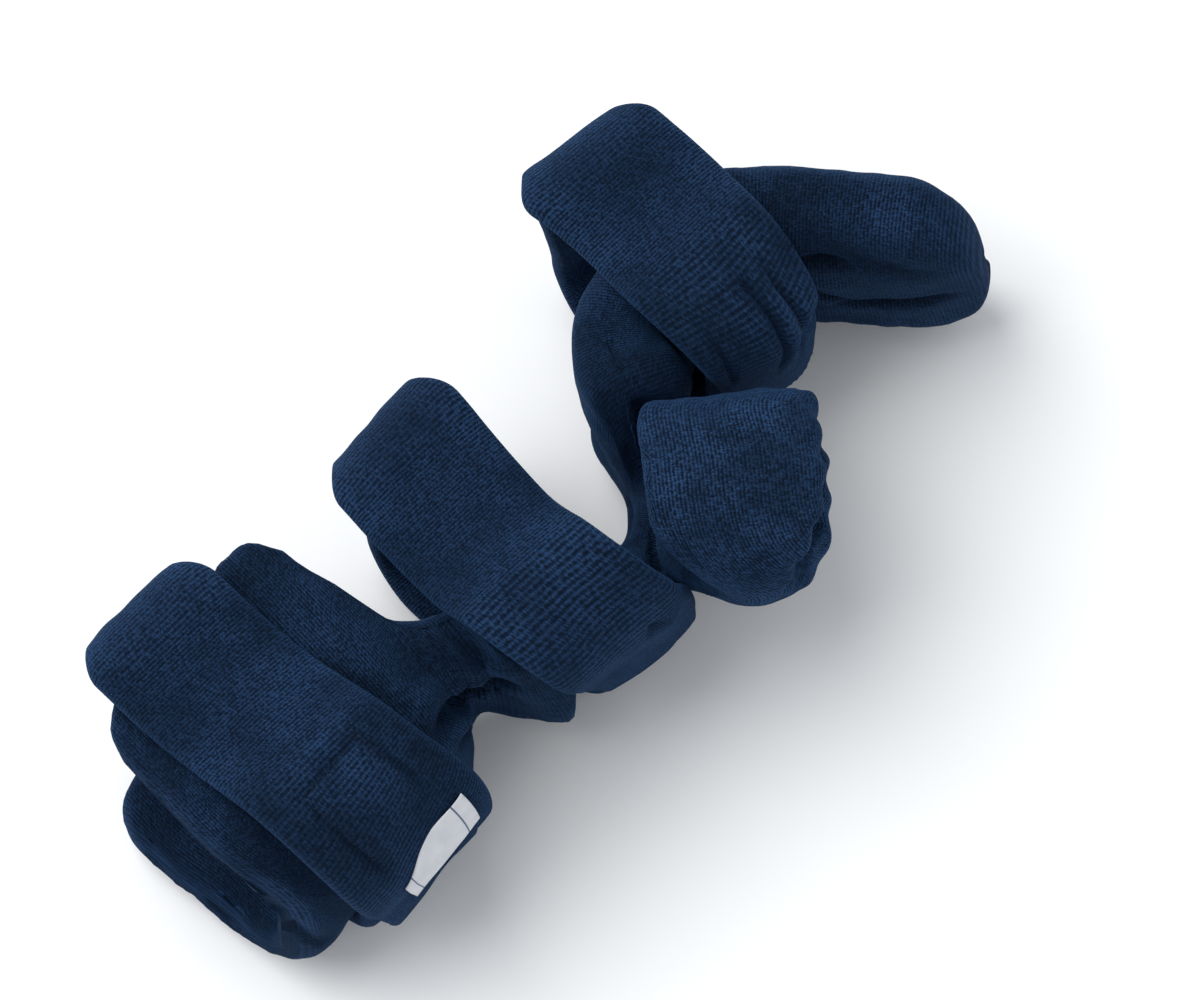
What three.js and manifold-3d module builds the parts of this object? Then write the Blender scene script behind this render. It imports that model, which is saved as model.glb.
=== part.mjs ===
// Thumb opposition orthosis: a padded knit hand and forearm splint for a left arm.
// Millimetres. It lies on its little-finger side: +X runs from the elbow end to the finger end,
// +Y to the back of the hand and +Z to the thumb side. The origin is the middle of its footprint.
import * as THREE from "three";
import { mergeVertices } from "three/addons/utils/BufferGeometryUtils.js";
import Module from "manifold-3d";

// Driving sizes of the padded shell
const shellLength = 406; // elbow end to toe of the finger pan
const shellWidth = 105.2; // outside, little-finger side to thumb side
const archRise = 98.5; // middle of the pad at the top of the finger arch, over the trough's underside
const wallRise = 108; // tallest side wall over the bed of the trough
const wallPad = 13; // padded side wall
const bedPad = 14; // padded bed under the forearm
const palmPad = 28; // padded bed under the palm and the fingers
const troughCorner = 33; // middle line of the pad where the bed turns into a wall
const wallLean = 4; // how far a full wall leans in at its top
const heelCut = 14; // the elbow rim slopes back by this at the bed
const elbowSlant = 17; // the little-finger wall reaches this much further to the elbow
const toeSlant = 9; // and this much further at the toe
const rimRoll = 7; // length over which an end rim rounds off
const toeLength = 30; // length over which the toe rounds off
const lowWall = 30; // a wall lower than this thickens into a padded edge

// Steps across the shell's section
const wallSteps = 5;
const cornerSteps = 4;
const bedSteps = 4;
const sleeveSteps = 28; // round the sleeve

// Driving sizes of the straps
const strapPad = 8;
const strapGap = 0.4; // strap to shell, and lap to lap
const crown = 1.2; // the strap's face stands proud in the middle of its width

// Driving sizes of the thumb sleeve
const sleeveLength = 69;
const sleeveWide = 79; // across, in the plane of the palm
const sleeveTall = 57; // across, little-finger side to thumb side
const sleevePad = 12;
const sleeveTurn = -38.4; // degrees, its axis from +X towards the palm side
const sleeveGap = 0.4; // sleeve to shell
const sleeveRoundness = 2.5; // 2 is an ellipse, more is squarer
const sleeveStart = -0.54; // its wrist end on its axis, share of sleeveLength
const sleeveEnd = 0.46; // its tip end
const startCut = { palm: 0.36, fingers: 0.2 }; // how far the wrist end slopes back at either side
const endCut = { palm: 0.28, fingers: 0.06 }; // and the tip end
const hemScallops = 14;
const hemWave = 1.2;

// Driving sizes of the label
const labelLong = 37;
const labelWide = 21;
const labelThick = 1;
const labelGap = 0.3;

// Places
const shellFloor = strapPad + strapGap; // the straps carry the shell clear of the surface
const sleeveSeat = shellFloor + 0.51 * shellWidth; // the shell's thumb notch ends here
const sleeveAt = { x: 0.642 * shellLength, y: 0.035 * archRise, z: sleeveSeat + sleeveGap + sleeveTall / 2 };

const navy = new THREE.Color("#16263f");
const fabric = (name) => new THREE.MeshStandardMaterial({ name, color: navy, roughness: 0.95, metalness: 0 });
const tag = new THREE.MeshStandardMaterial({ name: "woven_tag", color: "#d9dade", roughness: 0.8, metalness: 0 });

// A short table: the first string names the columns, each row holds one section or fold.
function table(columns, rows) {
  const names = columns.split(" ");
  return rows.map((row) => Object.fromEntries(names.map((name, i) => [name, row[i]])));
}

const clamp = (v, low, high) => Math.min(high, Math.max(low, v));
const mix = (a, b, t) => a + (b - a) * t;
const ease = (t) => {
  const c = clamp(t, 0, 1);
  return c * c * (3 - 2 * c);
};

// A smooth value between a table's rows, by its `at` column.
function between(rows, column, at) {
  const last = rows.length - 1;
  let i = 0;
  while (i < last - 1 && at > rows[i + 1].at) i += 1;
  const span = rows[i + 1].at - rows[i].at;
  const t = clamp((at - rows[i].at) / span, 0, 1);
  const slope = (k) => {
    const low = Math.max(k - 1, 0);
    const high = Math.min(k + 1, last);
    const rise = rows[high][column] - rows[low][column];
    const isPeak = (rows[high][column] - rows[k][column]) * (rows[k][column] - rows[low][column]) <= 0;
    return isPeak ? 0 : rise / (rows[high].at - rows[low].at);
  };
  const [a, b] = [rows[i][column], rows[i + 1][column]];
  const [ma, mb] = [slope(i) * span, slope(i + 1) * span];
  const [t2, t3] = [t * t, t * t * t];
  return (2 * t3 - 3 * t2 + 1) * a + (t3 - 2 * t2 + t) * ma + (3 * t2 - 2 * t3) * b + (t3 - t2) * mb;
}

// Sections of the shell. along: share of shellLength; rise: middle of the bed, share of archRise;
// turn: degrees; pad: 0 bedPad to 1 palmPad; near, far: walls over the bed, share of wallRise;
// top: thumb side, share of shellWidth.
const sections = table("at along rise turn pad near far top", [
  [0, 0.0, 0.071, 0, 0, 0.72, 0.7, 1],
  [1, 0.012, 0.071, 0, 0, 0.8, 0.8, 1],
  [2, 0.035, 0.071, 0, 0, 0.86, 0.87, 1],
  [3, 0.075, 0.071, 0, 0, 0.9, 0.9, 1],
  [4, 0.13, 0.071, 0, 0, 0.905, 0.905, 1],
  [5, 0.19, 0.071, 0, 0, 0.905, 0.905, 1],
  [6, 0.235, 0.076, 0, 0, 0.95, 0.95, 1],
  [7, 0.261, 0.1, 0, 0, 0.95, 0.95, 1],
  [8, 0.281, 0.142, 0, 0, 0.81, 0.81, 1],
  [9, 0.295, 0.193, 0, 0, 0.58, 0.58, 1],
  [10, 0.305, 0.239, 0, 0, 0.38, 0.38, 1],
  [11, 0.316, 0.285, 0, 0, 0.2, 0.22, 1],
  [12, 0.33, 0.315, 0, 0, 0.115, 0.14, 1],
  [13, 0.348, 0.29, 0, 0, 0.095, 0.13, 1],
  [14, 0.37, 0.21, 0, 0, 0.15, 0.19, 1],
  [15, 0.394, 0.165, 0, 0, 0.19, 0.23, 1],
  [16, 0.443, 0.186, 0, 0, 0.16, 0.22, 0.99],
  [17, 0.485, 0.186, 0, 0, 0.08, 0.18, 0.97],
  [18, 0.512, 0.19, 2, 0.03, 0.02, 0.14, 0.9],
  [19, 0.542, 0.208, 12, 0.25, 0.0, 0.11, 0.6],
  [20, 0.571, 0.245, 30, 0.55, 0.0, 0.08, 0.52],
  [21, 0.598, 0.315, 46, 0.85, 0.0, 0.05, 0.51],
  [22, 0.618, 0.427, 64, 1, 0.0, 0.03, 0.52],
  [23, 0.627, 0.555, 80, 1, 0.0, 0.02, 0.8],
  [24, 0.632, 0.68, 80, 1, 0.0, 0.02, 0.985],
  [25, 0.643, 0.8, 62, 1, 0.0, 0.02, 1],
  [26, 0.669, 0.9, 38, 1, 0.0, 0.02, 1],
  [27, 0.708, 0.968, 18, 1, 0.01, 0.03, 1],
  [28, 0.75, 1, 2, 1, 0.03, 0.04, 1],
  [29, 0.788, 0.966, -20, 1, 0.06, 0.06, 1],
  [30, 0.822, 0.86, -40, 1, 0.09, 0.09, 1],
  [31, 0.855, 0.71, -49, 0.97, 0.1, 0.1, 0.99],
  [32, 0.888, 0.56, -49, 0.96, 0.1, 0.1, 0.98],
  [33, 0.922, 0.4, -49, 0.94, 0.1, 0.1, 0.97],
  [34, 0.966, 0.2, -49, 0.92, 0.09, 0.09, 0.96],
]);

// Folds on the outside of the shell. at: station; across: 0 at the thumb-side rim to 1 at the other;
// reach: half its length in across; wide: half its width in stations; high: share of wallPad;
// skew: stations that it wanders over its length.
const shellFolds = table("at across reach wide high skew", [
  [12.6, 0.42, 0.2, 0.45, 0.3, 1.2],
  [13.8, 0.4, 0.24, 0.45, 0.34, 1.6],
  [13.2, 0.4, 0.22, 0.3, -0.3, 1.4],
  [1.2, 0.3, 0.3, 0.7, 0.12, 0],
  [24.6, 0.2, 0.2, 0.7, -0.12, 0.4],
  [30.2, 0.16, 0.14, 0.3, -0.22, 0.5],
  [30.8, 0.2, 0.16, 0.3, 0.16, 0.6],
  [31.5, 0.26, 0.12, 0.3, -0.12, 0.4],
]);

function foldAt(folds, at, across) {
  let height = 0;
  for (const fold of folds) {
    const off = (at - fold.at - fold.skew * (across - fold.across)) / fold.wide;
    const span = (across - fold.across) / fold.reach;
    if (Math.abs(span) < 1) height += fold.high * Math.exp(-off * off) * (1 - span * span) ** 2;
  }
  return height;
}

// The pad's middle line across one section, from the thumb-side rim to the other, with its half thickness.
function padLine(s) {
  const low = s.pad / 2;
  const side = (rise, at, inward) => {
    const thick = mix(s.pad, wallPad, clamp(rise / lowWall, 0, 1));
    const z = at + (inward * thick) / 2;
    const top = s.pad + rise - thick / 2;
    const corner = clamp(troughCorner, 0.01, Math.max(top - low, 0.01));
    const points = [];
    for (let i = 0; i < wallSteps; i += 1) {
      const h = mix(top, low + corner, i / wallSteps);
      const lean = wallLean * ((h - low) / wallRise) ** 3;
      points.push({ z: z + inward * lean, h, nz: -inward, nh: 0, half: thick / 2 });
    }
    for (let i = 0; i < cornerSteps; i += 1) {
      const angle = (i / cornerSteps) * (Math.PI / 2);
      points.push({
        z: z + inward * corner * (1 - Math.cos(angle)),
        h: low + corner * (1 - Math.sin(angle)),
        nz: -inward * Math.cos(angle),
        nh: -Math.sin(angle),
        half: mix(thick, s.pad, ease(i / cornerSteps)) / 2,
      });
    }
    return { points, end: z + inward * corner };
  };
  const near = side(s.near, s.top, -1);
  const far = side(s.far, shellFloor, 1);
  const bed = [];
  for (let i = 0; i <= bedSteps; i += 1) {
    bed.push({ z: mix(near.end, far.end, i / bedSteps), h: low, nz: 0, nh: -1, half: low });
  }
  return [...near.points, ...bed, ...far.points.reverse()];
}

// One closed ring of the shell, as z and height points. `plump` thins it towards its middle line.
function padRing(s, at, plump) {
  const line = padLine(s);
  const last = line.length - 1;
  const outer = [];
  const inner = [];
  line.forEach((p, i) => {
    const out = plump * (p.half + wallPad * foldAt(shellFolds, at, i / last));
    outer.push([p.z + p.nz * out, p.h + p.nh * out]);
    inner.push([p.z - p.nz * plump * p.half, p.h - p.nh * plump * p.half]);
  });
  const rim = (p) => [0.25, 0.5, 0.75].map((t) => {
    const half = plump * p.half;
    return [p.z + p.nz * half * Math.cos(t * Math.PI), p.h + half * Math.sin(t * Math.PI)];
  });
  return [...outer, ...rim(line[last]), ...inner.reverse(), ...rim(line[0]).reverse()];
}

// A solid through rings of points; `pairs` closes each end between matching points.
function loft(rings, closedLoop) {
  const size = rings[0].length;
  const positions = rings.flat(2);
  const index = [];
  const count = closedLoop ? rings.length : rings.length - 1;
  for (let r = 0; r < count; r += 1) {
    const next = (r + 1) % rings.length;
    for (let i = 0; i < size; i += 1) {
      const j = (i + 1) % size;
      const [a, b, c, d] = [r * size + i, r * size + j, next * size + j, next * size + i];
      index.push(a, b, c, a, c, d);
    }
  }
  if (!closedLoop) {
    const cap = (r, flip) => {
      for (let i = 0; i < Math.floor(size / 2) - 1; i += 1) {
        const [a, b] = [r * size + i, r * size + i + 1];
        const [c, d] = [r * size + size - 2 - i, r * size + size - 1 - i];
        if (flip) index.push(a, b, c, a, c, d);
        else index.push(a, c, b, a, d, c);
      }
      if (size % 2) {
        const m = (size - 1) / 2;
        const tri = [r * size + m - 1, r * size + m, r * size + m + 1];
        if (flip) index.push(...tri);
        else index.push(tri[0], tri[2], tri[1]);
      }
    };
    cap(0, false);
    cap(rings.length - 1, true);
  }
  const geometry = new THREE.BufferGeometry();
  geometry.setAttribute("position", new THREE.Float32BufferAttribute(positions, 3));
  geometry.setIndex(index);
  return mergeVertices(geometry, 1e-3);
}

function volume(geometry) {
  const p = geometry.attributes.position;
  const [a, b, c] = [new THREE.Vector3(), new THREE.Vector3(), new THREE.Vector3()];
  let total = 0;
  for (let i = 0; i < geometry.index.count; i += 3) {
    a.fromBufferAttribute(p, geometry.index.getX(i));
    b.fromBufferAttribute(p, geometry.index.getX(i + 1));
    c.fromBufferAttribute(p, geometry.index.getX(i + 2));
    total += a.dot(b.cross(c)) / 6;
  }
  return total;
}

// Turns a geometry's faces outwards.
function facingOut(geometry) {
  if (volume(geometry) > 0) return geometry;
  const index = geometry.index;
  for (let i = 0; i < index.count; i += 3) {
    const kept = index.getX(i + 1);
    index.setX(i + 1, index.getX(i + 2));
    index.setX(i + 2, kept);
  }
  return geometry;
}

// The shell's section at a station between the table's rows.
function sectionAt(at) {
  const value = (column) => between(sections, column, at);
  return {
    x: value("along") * shellLength,
    y: value("rise") * archRise,
    turn: THREE.MathUtils.degToRad(value("turn")),
    pad: mix(bedPad, palmPad, value("pad")),
    near: Math.max(value("near"), 0) * wallRise,
    far: Math.max(value("far"), 0) * wallRise,
    top: shellFloor + value("top") * shellWidth,
  };
}

// A quarter of a rounded end: 0 at the tip to 1 at full size, for a distance from the tip.
const rounded = (distance, length, power) => (
  (1 - (1 - clamp(distance / length, 0, 1)) ** power) ** (1 / power)
);

function shellRings() {
  const last = sections.length - 1;
  const stations = [0, 0.3, 0.6];
  for (let at = 1; at < last - 2; at += at > 7 && at < 15 ? 0.5 : 1) stations.push(at);
  stations.push(...[2, 1.5, 1.1, 0.8, 0.55, 0.35, 0.18, 0.06, 0].map((left) => last - left));
  return stations.map((at) => {
    const s = sectionAt(at);
    const toToe = Math.hypot(s.x - sectionAt(last).x, s.y - sectionAt(last).y);
    const plump = rounded(s.x + 0.08 * rimRoll, rimRoll, 2);
    const nose = at > last - 5 ? rounded(toToe + 0.01 * toeLength, toeLength, 2.6) : 1;
    const middle = { z: (s.top + shellFloor) / 2, h: s.pad / 2 };
    return padRing(s, at, plump).map(([z0, h0]) => {
      const z = mix(middle.z, z0, nose);
      const up = nose * (h0 - middle.h);
      const share = (z - shellFloor) / shellWidth;
      const heel = heelCut * (1 - clamp(h0 / (0.42 * wallRise), 0, 1)) ** 2;
      const slant = (elbowSlant * share + heel) * (1 - ease(s.x / (4 * elbowSlant)))
        + toeSlant * (1 - share) * (at > last - 5 ? ease(1 - toToe / (10 * toeSlant)) : 0);
      return [
        s.x + slant * Math.cos(s.turn) - up * Math.sin(s.turn),
        s.y + slant * Math.sin(s.turn) + up * Math.cos(s.turn),
        z,
      ];
    });
  });
}

// The straps. palm, back: insides of the loop across the arm; palmCorner, backCorner: radii of its
// middle line; start: where its first end lies on the palm side, over the surface; lap: how much of the
// free end lies over the first end; hemSlant: the hem runs back by this from the middle to the finger edge.
const straps = {
  forearm_strap: {
    at: 0.165 * shellLength,
    wide: 63,
    palm: -strapGap,
    back: 0.96 * wallRise + bedPad + 4 * strapGap,
    palmCorner: 38,
    backCorner: 21,
    start: 0.74 * shellWidth,
    lap: 19,
    hemSlant: 20,
    // at: share of the strap's length; shift, wide: along the arm, shares of the strap's width
    line: table("at shift wide", [
      [0, 0.14, 0.9],
      [0.12, 0.12, 0.95],
      [0.3, 0, 0.98],
      [0.42, -0.12, 1],
      [0.55, -0.15, 1.03],
      [0.64, -0.13, 1.0],
      [0.73, -0.08, 1],
      [0.84, 0.05, 1.02],
      [0.93, 0.15, 1.0],
      [1, 0.2, 0.86],
    ]),
    // across: -1 elbow edge to 1 finger edge; reach, wide: half lengths; high: share of strapPad
    folds: table("at across reach wide high", [
      [0.9, 0.4, 0.7, 0.02, -0.12],
      [0.955, -0.2, 1, 0.012, -0.14],
    ]),
  },
  wrist_strap: {
    at: 0.4195 * shellLength,
    wide: 63,
    palm: 0.115 * archRise - strapGap,
    back: 0.92 * wallRise + 0.65 * bedPad,
    palmCorner: 22,
    backCorner: 21,
    start: 0.68 * shellWidth,
    lap: 26,
    hemSlant: 0,
    line: table("at shift wide", [
      [0, 0.42, 0.7],
      [0.14, 0.38, 0.74],
      [0.3, 0.12, 0.96],
      [0.42, 0.08, 1],
      [0.55, 0.08, 1],
      [0.64, 0.02, 1],
      [0.74, 0.02, 0.95],
      [0.82, 0.12, 0.93],
      [0.9, 0.34, 0.86],
      [1, 0.42, 0.72],
    ]),
    folds: table("at across reach wide high", [
      [0.85, 0.35, 0.7, 0.025, -0.3],
      [0.895, 0.1, 0.9, 0.02, 0.16],
    ]),
  },
  hand_strap: {
    at: 0.745 * shellLength,
    wide: 62,
    palm: 0.655 * archRise,
    back: 1.42 * archRise + 0.2 * bedPad,
    palmCorner: 22,
    backCorner: 21,
    start: 0.7 * shellWidth,
    lap: 28,
    hemSlant: 0,
    line: table("at shift wide", [
      [0, 0.08, 0.66],
      [0.12, 0.08, 0.72],
      [0.3, 0.06, 0.98],
      [0.42, 0.06, 1],
      [0.55, 0.07, 1.02],
      [0.64, 0.07, 1.02],
      [0.73, 0.1, 1.02],
      [0.81, 0.09, 1],
      [0.9, 0.09, 0.8],
      [1, 0.08, 0.66],
    ]),
    folds: table("at across reach wide high", [
      [0.83, 0.9, 0.5, 0.012, -0.5],
      [0.86, 0.8, 0.5, 0.012, 0.3],
      [0.89, 0.7, 0.6, 0.012, -0.4],
    ]),
  },
};

// A strap's route in the plane across the arm: it starts under its own free end on the palm side, goes
// round the little-finger side and over the back, and down the thumb side to lap over its start.
function strapRoute(strap) {
  const half = strapPad / 2;
  const low = { y: strap.palm - half, z: half };
  const high = { y: strap.back + half, z: shellFloor + shellWidth + strapGap + half };
  const [p, b] = [strap.palmCorner, strap.backCorner];
  const pieces = [];
  const line = (y0, z0, y1, z1, ny, nz) => {
    const length = Math.hypot(y1 - y0, z1 - z0);
    const point = (t) => ({ y: mix(y0, y1, t), z: mix(z0, z1, t), ny, nz });
    pieces.push({ length, point });
  };
  const arc = (cy, cz, radius, from) => {
    const point = (t) => {
      const angle = THREE.MathUtils.degToRad(from - 90 * t);
      const [ny, nz] = [Math.sin(angle), Math.cos(angle)];
      return { y: cy + radius * ny, z: cz + radius * nz, ny, nz };
    };
    pieces.push({ length: (radius * Math.PI) / 2, point });
  };
  line(low.y, strap.start, low.y, low.z + p, -1, 0);
  arc(low.y + p, low.z + p, p, 270);
  line(low.y + p, low.z, high.y - b, low.z, 0, -1);
  arc(high.y - b, low.z + b, b, 180);
  line(high.y, low.z + b, high.y, high.z - b, 1, 0);
  arc(high.y - b, high.z - b, b, 90);
  line(high.y - b, high.z, low.y + p, high.z, 0, 1);
  arc(low.y + p, high.z - p, p, 360);
  line(low.y, high.z - p, low.y, strap.start - strap.lap, -1, 0);
  const total = pieces.reduce((sum, piece) => sum + piece.length, 0);
  const at = (distance) => {
    let left = clamp(distance, 0, total);
    let i = 0;
    while (i < pieces.length - 1 && left > pieces[i].length) {
      left -= pieces[i].length;
      i += 1;
    }
    return pieces[i].point(left / pieces[i].length);
  };
  const marks = [0];
  for (const [i, piece] of pieces.entries()) {
    const start = marks[marks.length - 1];
    const steps = i % 2 ? 6 : Math.max(2, Math.round(piece.length / 14));
    for (let k = 1; k <= steps; k += 1) marks.push(start + (piece.length * k) / steps);
  }
  return { total, at, marks };
}

// A point of a strap: how far along, how far across (-1 elbow edge to 1 finger edge) and how far out
// of its middle line.
function strapPoint(strap, route, distance, across, out) {
  const share = distance / route.total;
  const lift = (strapPad + strapGap) * ease((share - 0.74) / 0.13);
  const ending = ease((share - 0.8) / 0.2);
  const sheared = distance - strap.hemSlant * across * ending;
  const p = route.at(Math.min(sheared, route.total + strap.hemSlant));
  const past = Math.max(0, sheared - route.total);
  const middle = strap.at + strap.wide * between(strap.line, "shift", share);
  const wide = (strap.wide * between(strap.line, "wide", share)) / 2;
  return [middle + wide * across, p.y + p.ny * (lift + out), p.z + p.nz * (lift + out) - past];
}

// across and side of the points round a strap's cross-section, and how much they share in its crown
const strapEdge = table("across side proud", [
  [-1, 0, 0],
  [-0.965, 0.72, 0],
  [-0.88, 1, 0.1],
  [-0.45, 1, 0.8],
  [0, 1, 1],
  [0.45, 1, 0.8],
  [0.88, 1, 0.1],
  [0.965, 0.72, 0],
  [1, 0, 0],
  [0.965, -0.72, 0],
  [0.88, -1, 0],
  [0, -1, 0],
  [-0.88, -1, 0],
  [-0.965, -0.72, 0],
]);

function strapRings(strap) {
  const route = strapRoute(strap);
  return route.marks.map((distance) => {
    const share = distance / route.total;
    const toEnd = Math.min(distance, route.total - distance);
    const half = (strapPad / 2) * rounded(toEnd + 0.2 * strapPad, 0.7 * strapPad, 2);
    const rests = route.at(distance).nz < -0.3;
    return strapEdge.map(({ across, side, proud }) => {
      let out = side * half + (rests ? 0 : crown * proud);
      if (side === 1) {
        for (const fold of strap.folds) {
          const off = (share - fold.at) / fold.wide;
          const span = clamp((across - fold.across) / fold.reach, -1, 1);
          out += strapPad * fold.high * Math.exp(-off * off) * (1 - span * span);
        }
      }
      return strapPoint(strap, route, distance, across, out);
    });
  });
}

// Sections of the sleeve. at: share of its length; wide: share of sleeveWide
const sleeveShape = table("at wide", [
  [0, 0.9],
  [0.25, 0.97],
  [0.6, 1],
  [1, 0.94],
]);

// Where the sleeve's surface lies. round: radians from its fingers side towards the thumb side;
// along: 0 at the wrist end to 1 at the tip end; inset: depth under the outside.
function sleevePoint(round, along, inset) {
  const [cos, sin] = [Math.cos(round), Math.sin(round)];
  const power = sleeveRoundness;
  const reach = (Math.abs(cos) ** power + Math.abs(sin) ** power) ** (-1 / power);
  const across = (sleeveWide / 2 - inset) * reach * cos * between(sleeveShape, "wide", along);
  const up = (sleeveTall / 2 - inset) * reach * sin;
  const start = sleeveStart + (cos < 0 ? startCut.palm : startCut.fingers) * cos ** 4;
  const end = sleeveEnd - (cos < 0 ? endCut.palm : endCut.fingers) * Math.abs(cos) ** 3;
  const axial = sleeveLength * mix(start, end, along);
  const turn = THREE.MathUtils.degToRad(sleeveTurn);
  return [
    sleeveAt.x + axial * Math.cos(turn) - across * Math.sin(turn),
    sleeveAt.y + axial * Math.sin(turn) + across * Math.cos(turn),
    sleeveAt.z + up,
  ];
}

function sleeveRings() {
  const steps = 7;
  const profile = [];
  for (let i = 0; i <= steps; i += 1) profile.push({ along: mix(0.06, 0.95, i / steps), inset: 0 });
  profile.push({ along: 0.99, inset: 0.25 * sleevePad }, { along: 1, inset: 0.6 * sleevePad });
  for (let i = steps; i >= 0; i -= 2) profile.push({ along: mix(0.06, 0.95, i / steps), inset: sleevePad });
  profile.push({ along: 0.005, inset: 0.7 * sleevePad }, { along: 0.01, inset: 0.3 * sleevePad });
  const rings = [];
  for (let t = 0; t < sleeveSteps; t += 1) {
    const round = (t / sleeveSteps) * 2 * Math.PI;
    rings.push(profile.map(({ along, inset }) => {
      const wave = along > 0.9 ? hemWave * (0.5 + 0.5 * Math.cos(hemScallops * round)) : 0;
      return sleevePoint(round, along, inset + wave);
    }));
  }
  return rings;
}

// The space that the sleeve fills, with its hollow, grown by its gap to the shell.
function sleeveSpace() {
  const stations = table("along inset", [
    [-0.02, 0.3 * sleevePad],
    [0.02, -sleeveGap],
    [0.2, -sleeveGap],
    [0.4, -sleeveGap],
    [0.6, -sleeveGap],
    [0.8, -sleeveGap],
    [0.98, -sleeveGap],
    [1.03, 0.3 * sleevePad],
  ]);
  return loft(stations.map(({ along, inset }) => {
    const ring = [];
    for (let t = 0; t < sleeveSteps; t += 1) ring.push(sleevePoint((t / sleeveSteps) * 2 * Math.PI, along, inset));
    return ring;
  }), false);
}

const wasm = await Module();
wasm.setup();

function solid(geometry) {
  const merged = mergeVertices(geometry, 1e-3);
  const vertProperties = new Float32Array(merged.attributes.position.array);
  const triVerts = new Uint32Array(merged.index.array);
  return new wasm.Manifold(new wasm.Mesh({ numProp: 3, vertProperties, triVerts }));
}

function fromSolid(body) {
  const made = body.getMesh();
  const geometry = new THREE.BufferGeometry();
  geometry.setAttribute("position", new THREE.BufferAttribute(new Float32Array(made.vertProperties), 3));
  geometry.setIndex(new THREE.BufferAttribute(new Uint32Array(made.triVerts), 1));
  return geometry;
}

function shellGeometry() {
  const blank = solid(facingOut(loft(shellRings(), false)));
  return fromSolid(blank.subtract(solid(facingOut(sleeveSpace()))));
}

const tagEdge = 3; // hem to tag
const tagStart = -0.42; // elbow edge of the tag across the strap, -1 to 1

// The bare woven tag beside the hem of the forearm strap's free end. It follows the strap's face.
function labelGeometry() {
  const strap = straps.forearm_strap;
  const route = strapRoute(strap);
  const cell = (u, v, out) => {
    const across = tagStart + (2 * labelLong * u) / strap.wide;
    const distance = route.total - tagEdge - labelWide * v;
    return strapPoint(strap, route, distance, across, strapPad / 2 + crown + labelGap + out);
  };
  const rings = [];
  for (let i = 0; i <= 8; i += 1) {
    const front = [];
    const back = [];
    for (let k = 0; k <= 5; k += 1) {
      front.push(cell(i / 8, k / 5, labelThick));
      back.push(cell(i / 8, k / 5, 0));
    }
    rings.push([...front, ...back.reverse()]);
  }
  return loft(rings, false);
}

function mesh(name, geometry, material) {
  const made = new THREE.Mesh(geometry, material);
  made.name = name;
  geometry.computeVertexNormals();
  return made;
}

const parts = new THREE.Group();
parts.add(mesh("padded_shell", shellGeometry(), fabric("shell_knit")));
for (const [name, strap] of Object.entries(straps)) {
  parts.add(mesh(name, facingOut(loft(strapRings(strap), false)), fabric("strap_knit")));
}
parts.add(mesh("thumb_sleeve", facingOut(loft(sleeveRings(), true)), fabric("sleeve_knit")));
parts.add(mesh("label", facingOut(labelGeometry()), tag));

const box = new THREE.Box3().setFromObject(parts);
parts.position.set(-(box.min.x + box.max.x) / 2, -(box.min.y + box.max.y) / 2, -box.min.z);

const orthosis = new THREE.Group();
orthosis.add(parts);
export default orthosis;
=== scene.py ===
# Looks of a padded knit hand and forearm splint with a thumb sleeve and three straps.
# Shapes are worked out in millimetres from the elbow tip, the trough's underside and the surface,
# as the model's own sizes are, and end in metres in the model's frame.
import math

import bpy
import numpy as np
from mathutils import Matrix, Vector
from mathutils.bvhtree import BVHTree
from mathutils.kdtree import KDTree


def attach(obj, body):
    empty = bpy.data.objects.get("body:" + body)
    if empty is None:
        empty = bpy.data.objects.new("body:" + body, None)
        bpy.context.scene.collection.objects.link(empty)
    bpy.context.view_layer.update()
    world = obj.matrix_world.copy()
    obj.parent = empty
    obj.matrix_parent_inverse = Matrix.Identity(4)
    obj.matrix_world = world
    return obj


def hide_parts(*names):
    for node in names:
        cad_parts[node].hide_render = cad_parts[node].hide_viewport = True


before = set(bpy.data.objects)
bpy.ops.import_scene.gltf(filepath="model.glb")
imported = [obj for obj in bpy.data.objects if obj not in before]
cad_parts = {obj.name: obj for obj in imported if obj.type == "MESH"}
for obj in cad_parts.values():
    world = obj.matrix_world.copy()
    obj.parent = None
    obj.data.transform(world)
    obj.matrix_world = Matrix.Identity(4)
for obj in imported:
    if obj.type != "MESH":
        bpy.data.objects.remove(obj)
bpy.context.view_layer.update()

# Driving sizes of the padded shell, in millimetres
SHELL_LENGTH = 406.0  # elbow end to toe
SHELL_WIDTH = 105.2  # outside, little-finger side to thumb side
ARCH_RISE = 98.5  # middle of the pad at the top of the finger arch, over the trough's underside
WALL_RISE = 108.0
WALL_PAD = 13.0
BED_PAD = 14.0
PALM_PAD = 28.0
TROUGH_CORNER = 33.0
WALL_LEAN = 4.0
HEEL_CUT = 14.0  # the elbow rim slopes back by this at the bed
ELBOW_SLANT = 17.0  # the little-finger wall reaches this much further to the elbow
TOE_SLANT = 9.0  # and this much further at the toe
RIM_ROLL = 7.0
TOE_LENGTH = 30.0  # the toe rounds off over this
TOE_END = (399, 17)  # x and y of the toe's tight end
TOE_TIGHT, TOE_EASE = 9, 14  # nothing is moved within the first of it, and all is past both
LOW_WALL = 30.0  # a wall lower than this thickens into a padded edge

# Straps
STRAP_PAD = 8.0
STRAP_GAP = 0.4
STRAP_EDGE = 4.0  # radius of the long edges
CROWN = 1.2  # the face stands proud in the middle of its width

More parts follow.
